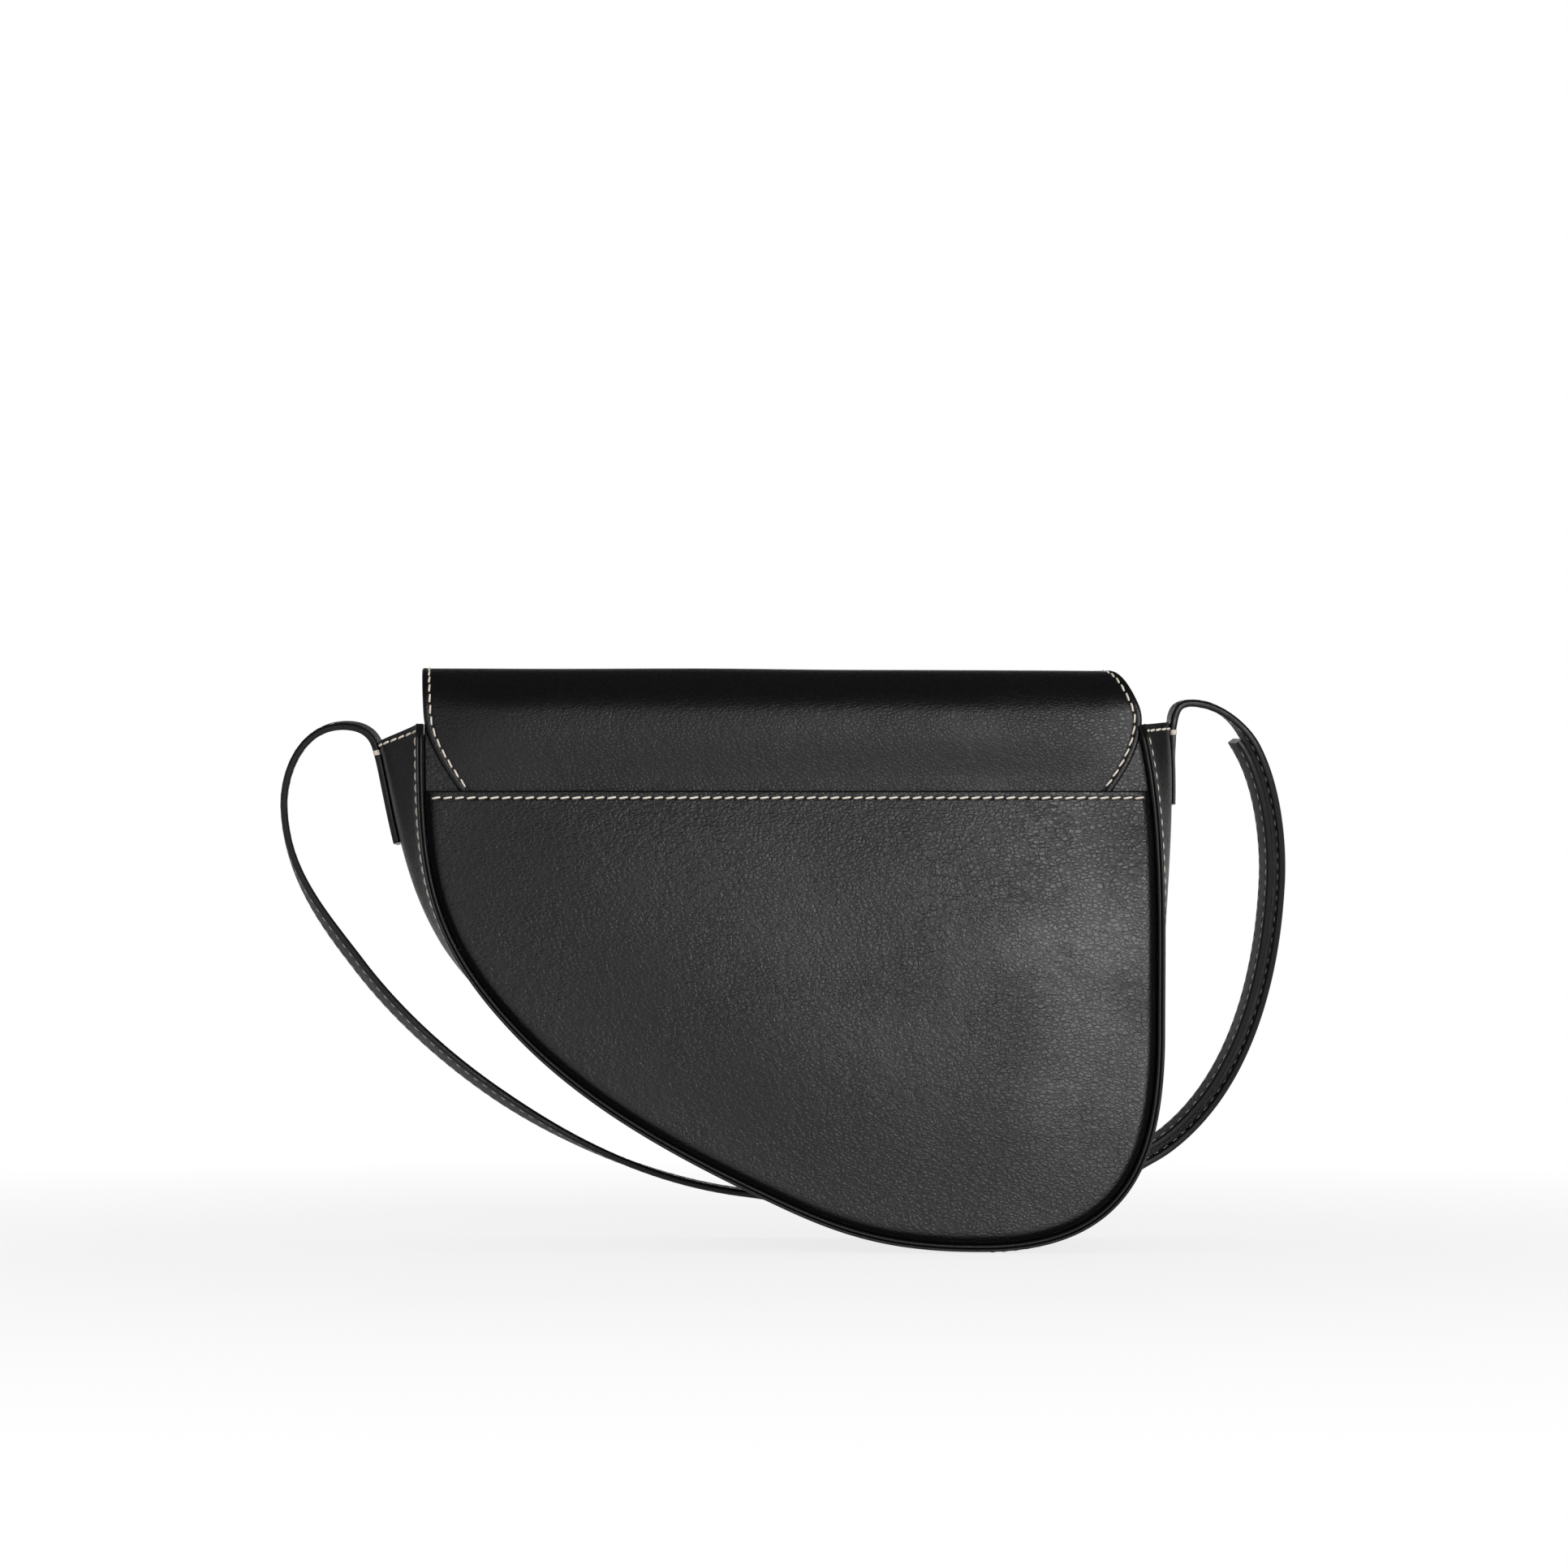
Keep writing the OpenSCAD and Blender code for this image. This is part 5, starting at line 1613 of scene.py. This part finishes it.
def keeper(name, at, body, node_name):
    """A leather loop round both parts of the strap: a strip carried round a rounded frame."""
    half_b = STRAP_W / 2 + STRAP_ROOM + KEEPER_T / 2
    half_c = (LIFT_TAIL + STRAP_T) / 2 + STRAP_ROOM + KEEPER_T / 2
    path = rounded_frame(half_b, half_c, 1.6, 120)
    way = closed_way(path)
    outward = np.stack([way[:, 1], -way[:, 0]], axis=-1)
    places, layers = strip_section(KEEPER_HALF, [-3.4, -2.4, -1.2, 0, 1.2, 2.4, 3.4], KEEPER_T)
    flat = path[:, None] + ((0.5 - layers) * KEEPER_T)[:, None] * outward[:, None]
    along = np.broadcast_to(at + places, flat.shape[:2])
    points = at_buckle(along, flat[..., 0], flat[..., 1] + LIFT_TAIL / 2)
    loop = hoop(name, points, section_marks(layers), [leather_strap, painted_edge])
    belongs(loop, body, "black_leather", node_name)


keeper("keeper_fixed_leather", EYE_R + 16, "strap", "fixed_keeper")
keeper("keeper_sliding_leather", EYE_R + 32, "keeper", "sliding_keeper")


# %% [markdown]
# ## Magnetic snap
# Each half is a turned brass part with broken edges: a profile carried round an axis. The
# socket has a recess that takes the stud.

# %% Snap halves
SNAP_X, SNAP_Z = 0.55 * BODY_W, 0.45 * BODY_H


def turned(name, profile, body, node_name):
    """A profile of (radius, depth) pairs carried round the snap's axis, closed by poles."""
    turn = np.linspace(0, 2 * np.pi, 64, endpoint=False)
    radius, depth = np.array(profile, float).T
    x = SNAP_X + radius[:, None] * np.cos(turn)
    z = SNAP_Z + radius[:, None] * np.sin(turn)
    points = np.stack([x, np.broadcast_to(depth[:, None], x.shape), z], axis=-1)
    made = plate(name, points, [], [light_brass])
    belongs(made, body, "brass", node_name)


turned(
    "snap_socket_cap",
    [(0.5, 31.2), (4.8, 31.2), (5.0, 31.4), (5.0, 32.5), (5.3, 32.8), (7.6, 32.8), (8.4, 32.55),
     (8.85, 32.0), (9.0, 31.2), (9.0, 30.4), (8.8, 30.05), (1.7, 30.05), (1.7, 28.6), (0.5, 28.6)],
    "pouch",
    "snap_socket",
)
turned(
    "snap_stud_cap",
    [(0.5, 31.6), (3.4, 31.6), (3.8, 31.75), (4.0, 32.1), (4.0, 33.0), (1.7, 33.0), (1.7, 33.8),
     (0.5, 33.8)],
    "flap_front",
    "snap_stud",
)

# %% [markdown]
# ## CAD nodes that stay
# The panels' boards and the snap's washers are flat plates in reality too. They keep the
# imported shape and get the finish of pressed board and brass.

# %% Finishes of the CAD nodes
for name, material in (
    ("back_board", bag_board),
    ("front_board", bag_board),
    ("socket_washer", light_brass),
    ("stud_washer", light_brass),
):
    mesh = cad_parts[name].data
    mesh.materials.clear()
    mesh.materials.append(material)

# %% [markdown]
# ## Floor, light and camera
# The photograph is taken with a long lens from straight behind, level with the middle of the
# bag, against white. A large soft lamp stands behind the camera to the right, and a weak one to
# the left. A low one beyond the bag lights its far side for the other views. The world fills
# the shadows at half strength. Glossy rays see white near the floor and behind the bag, and it
# falls off upwards and towards the dark room behind the camera, so that black leather stays
# black. The floor is pale, and far from the bag it is as white as the world that the camera
# sees.

# %% Floor
def background_rays(tree):
    """1 for rays that come straight from the camera, off something glossy or through glass."""
    ray = node(tree, "LightPath")
    either = (ray.outputs["Is Camera Ray"], ray.outputs["Is Glossy Ray"])
    either = node(tree, "Math", either, operation="MAXIMUM")
    return node(tree, "Math", (either, ray.outputs["Is Transmission Ray"]), operation="MAXIMUM")


FLOOR_HALF = 6.0
FLOOR_Z = -0.0006
GLOW_START, GLOW_END = 0.25, 0.7
GLOW_NEAR = 0.8
floor_mesh = bpy.data.meshes.new("floor")
floor_corners = [(-1, -1), (1, -1), (1, 1), (-1, 1)]
floor_places = [(x * FLOOR_HALF, y * FLOOR_HALF, FLOOR_Z) for x, y in floor_corners]
floor_mesh.from_pydata(floor_places, [], [(0, 1, 2, 3)])
floor = bpy.data.objects.new("floor", floor_mesh)
bpy.context.scene.collection.objects.link(floor)
paper, paper_tree = new_finish("white_studio_paper")
paper_diffuse = node(paper_tree, "BsdfDiffuse", {"Color": linear("#f4f4f4")})
paper_glow = node(paper_tree, "Emission", {"Color": (1, 1, 1, 1), "Strength": 1.0})
paper_way = node(paper_tree, "TexCoord").outputs["Object"]
paper_far = node(paper_tree, "VectorMath", (paper_way,), operation="LENGTH").outputs["Value"]
paper_share = node(paper_tree, "MapRange", (paper_far, GLOW_START, GLOW_END, GLOW_NEAR, 1.0))
paper_seen = (paper_share, background_rays(paper_tree))
paper_seen = node(paper_tree, "Math", paper_seen, operation="MULTIPLY")
paper_mix = node(paper_tree, "MixShader", (paper_seen, paper_diffuse, paper_glow))
node(paper_tree, "OutputMaterial", (paper_mix,))
floor_mesh.materials.append(paper)

# %% World and lamps
CEILING = 0.06
ROOM = 0.05
FILL = 0.5
world = bpy.data.worlds.new("studio")
bpy.context.scene.world = world
world.use_nodes = True
world_tree = world.node_tree
world_tree.nodes.clear()
sky_way = node(world_tree, "TexCoord").outputs["Generated"]
sky_parts = node(world_tree, "SeparateXYZ", (sky_way,))
backdrop = node(world_tree, "MapRange", (sky_parts.outputs["Y"], -0.6, 0.0, ROOM, 1.0))
below = node(world_tree, "MapRange", (sky_parts.outputs["Z"], 0.2, 0.55, 1.0, CEILING))
mirrored = node(world_tree, "Math", (below, backdrop), operation="MULTIPLY")
camera_only = node(world_tree, "LightPath").outputs["Is Camera Ray"]
white_share = node(world_tree, "Math", (mirrored, camera_only), operation="MAXIMUM")
fill = node(world_tree, "Background", {"Color": (1, 1, 1, 1), "Strength": FILL})
white = node(world_tree, "Background", {"Color": (1, 1, 1, 1), "Strength": white_share})
sky = node(world_tree, "MixShader", (background_rays(world_tree), fill, white))
node(world_tree, "OutputWorld", {"Surface": sky})


def soft_light(name, place, aim, size, power):
    """A rectangular lamp that faces a point."""
    lamp = bpy.data.lights.new(name, "AREA")
    lamp.shape = "RECTANGLE"
    lamp.size, lamp.size_y = size
    lamp.energy = power
    lamp_object = bpy.data.objects.new(name, lamp)
    way = np.array(aim) - np.array(place)
    flat = math.hypot(way[0], way[1])
    lamp_object.rotation_euler = (math.atan2(flat, -way[2]), 0, math.atan2(-way[0], way[1]))
    lamp_object.location = place
    bpy.context.scene.collection.objects.link(lamp_object)
    return lamp_object


soft_light("key_light", (0.6, -1.9, 0.34), (0.05, 0, 0.1), (0.55, 0.6), 20)
soft_light("side_light", (-0.6, -1.8, 0.4), (0, 0, 0.1), (0.2, 0.5), 0.7)
soft_light("front_light", (0.1, 2.0, 0.18), (0, 0, 0.1), (0.7, 0.34), 6)

# %% Camera
PX_MM = 0.29
FRAME_PX = 1932
CAMERA_FAR = 1600.0
CAMERA_Z = 105.0
BOTTOM_PX = 1543
SENSOR = 36.0
CAMERA_X = 0.45
BAG_BACK_Y = -48.55
camera_data = bpy.data.cameras.new("camera")
camera_data.sensor_width = SENSOR
camera_data.lens = SENSOR * CAMERA_FAR / (FRAME_PX * PX_MM)
axis_px = BOTTOM_PX - CAMERA_Z / PX_MM
camera_data.shift_y = (axis_px - FRAME_PX / 2) / FRAME_PX
camera_data.clip_start = 0.05
camera_data.clip_end = 50
camera = bpy.data.objects.new("camera", camera_data)
camera.location = (CAMERA_X * MM, (BAG_BACK_Y - CAMERA_FAR) * MM, CAMERA_Z * MM)
camera.rotation_euler = (math.pi / 2, 0, 0)
bpy.context.scene.collection.objects.link(camera)
bpy.context.scene.camera = camera
bpy.context.scene.view_settings.view_transform = "Standard"

# %% [markdown]
# ## The end

# %% Update the scene
bpy.context.view_layer.update()
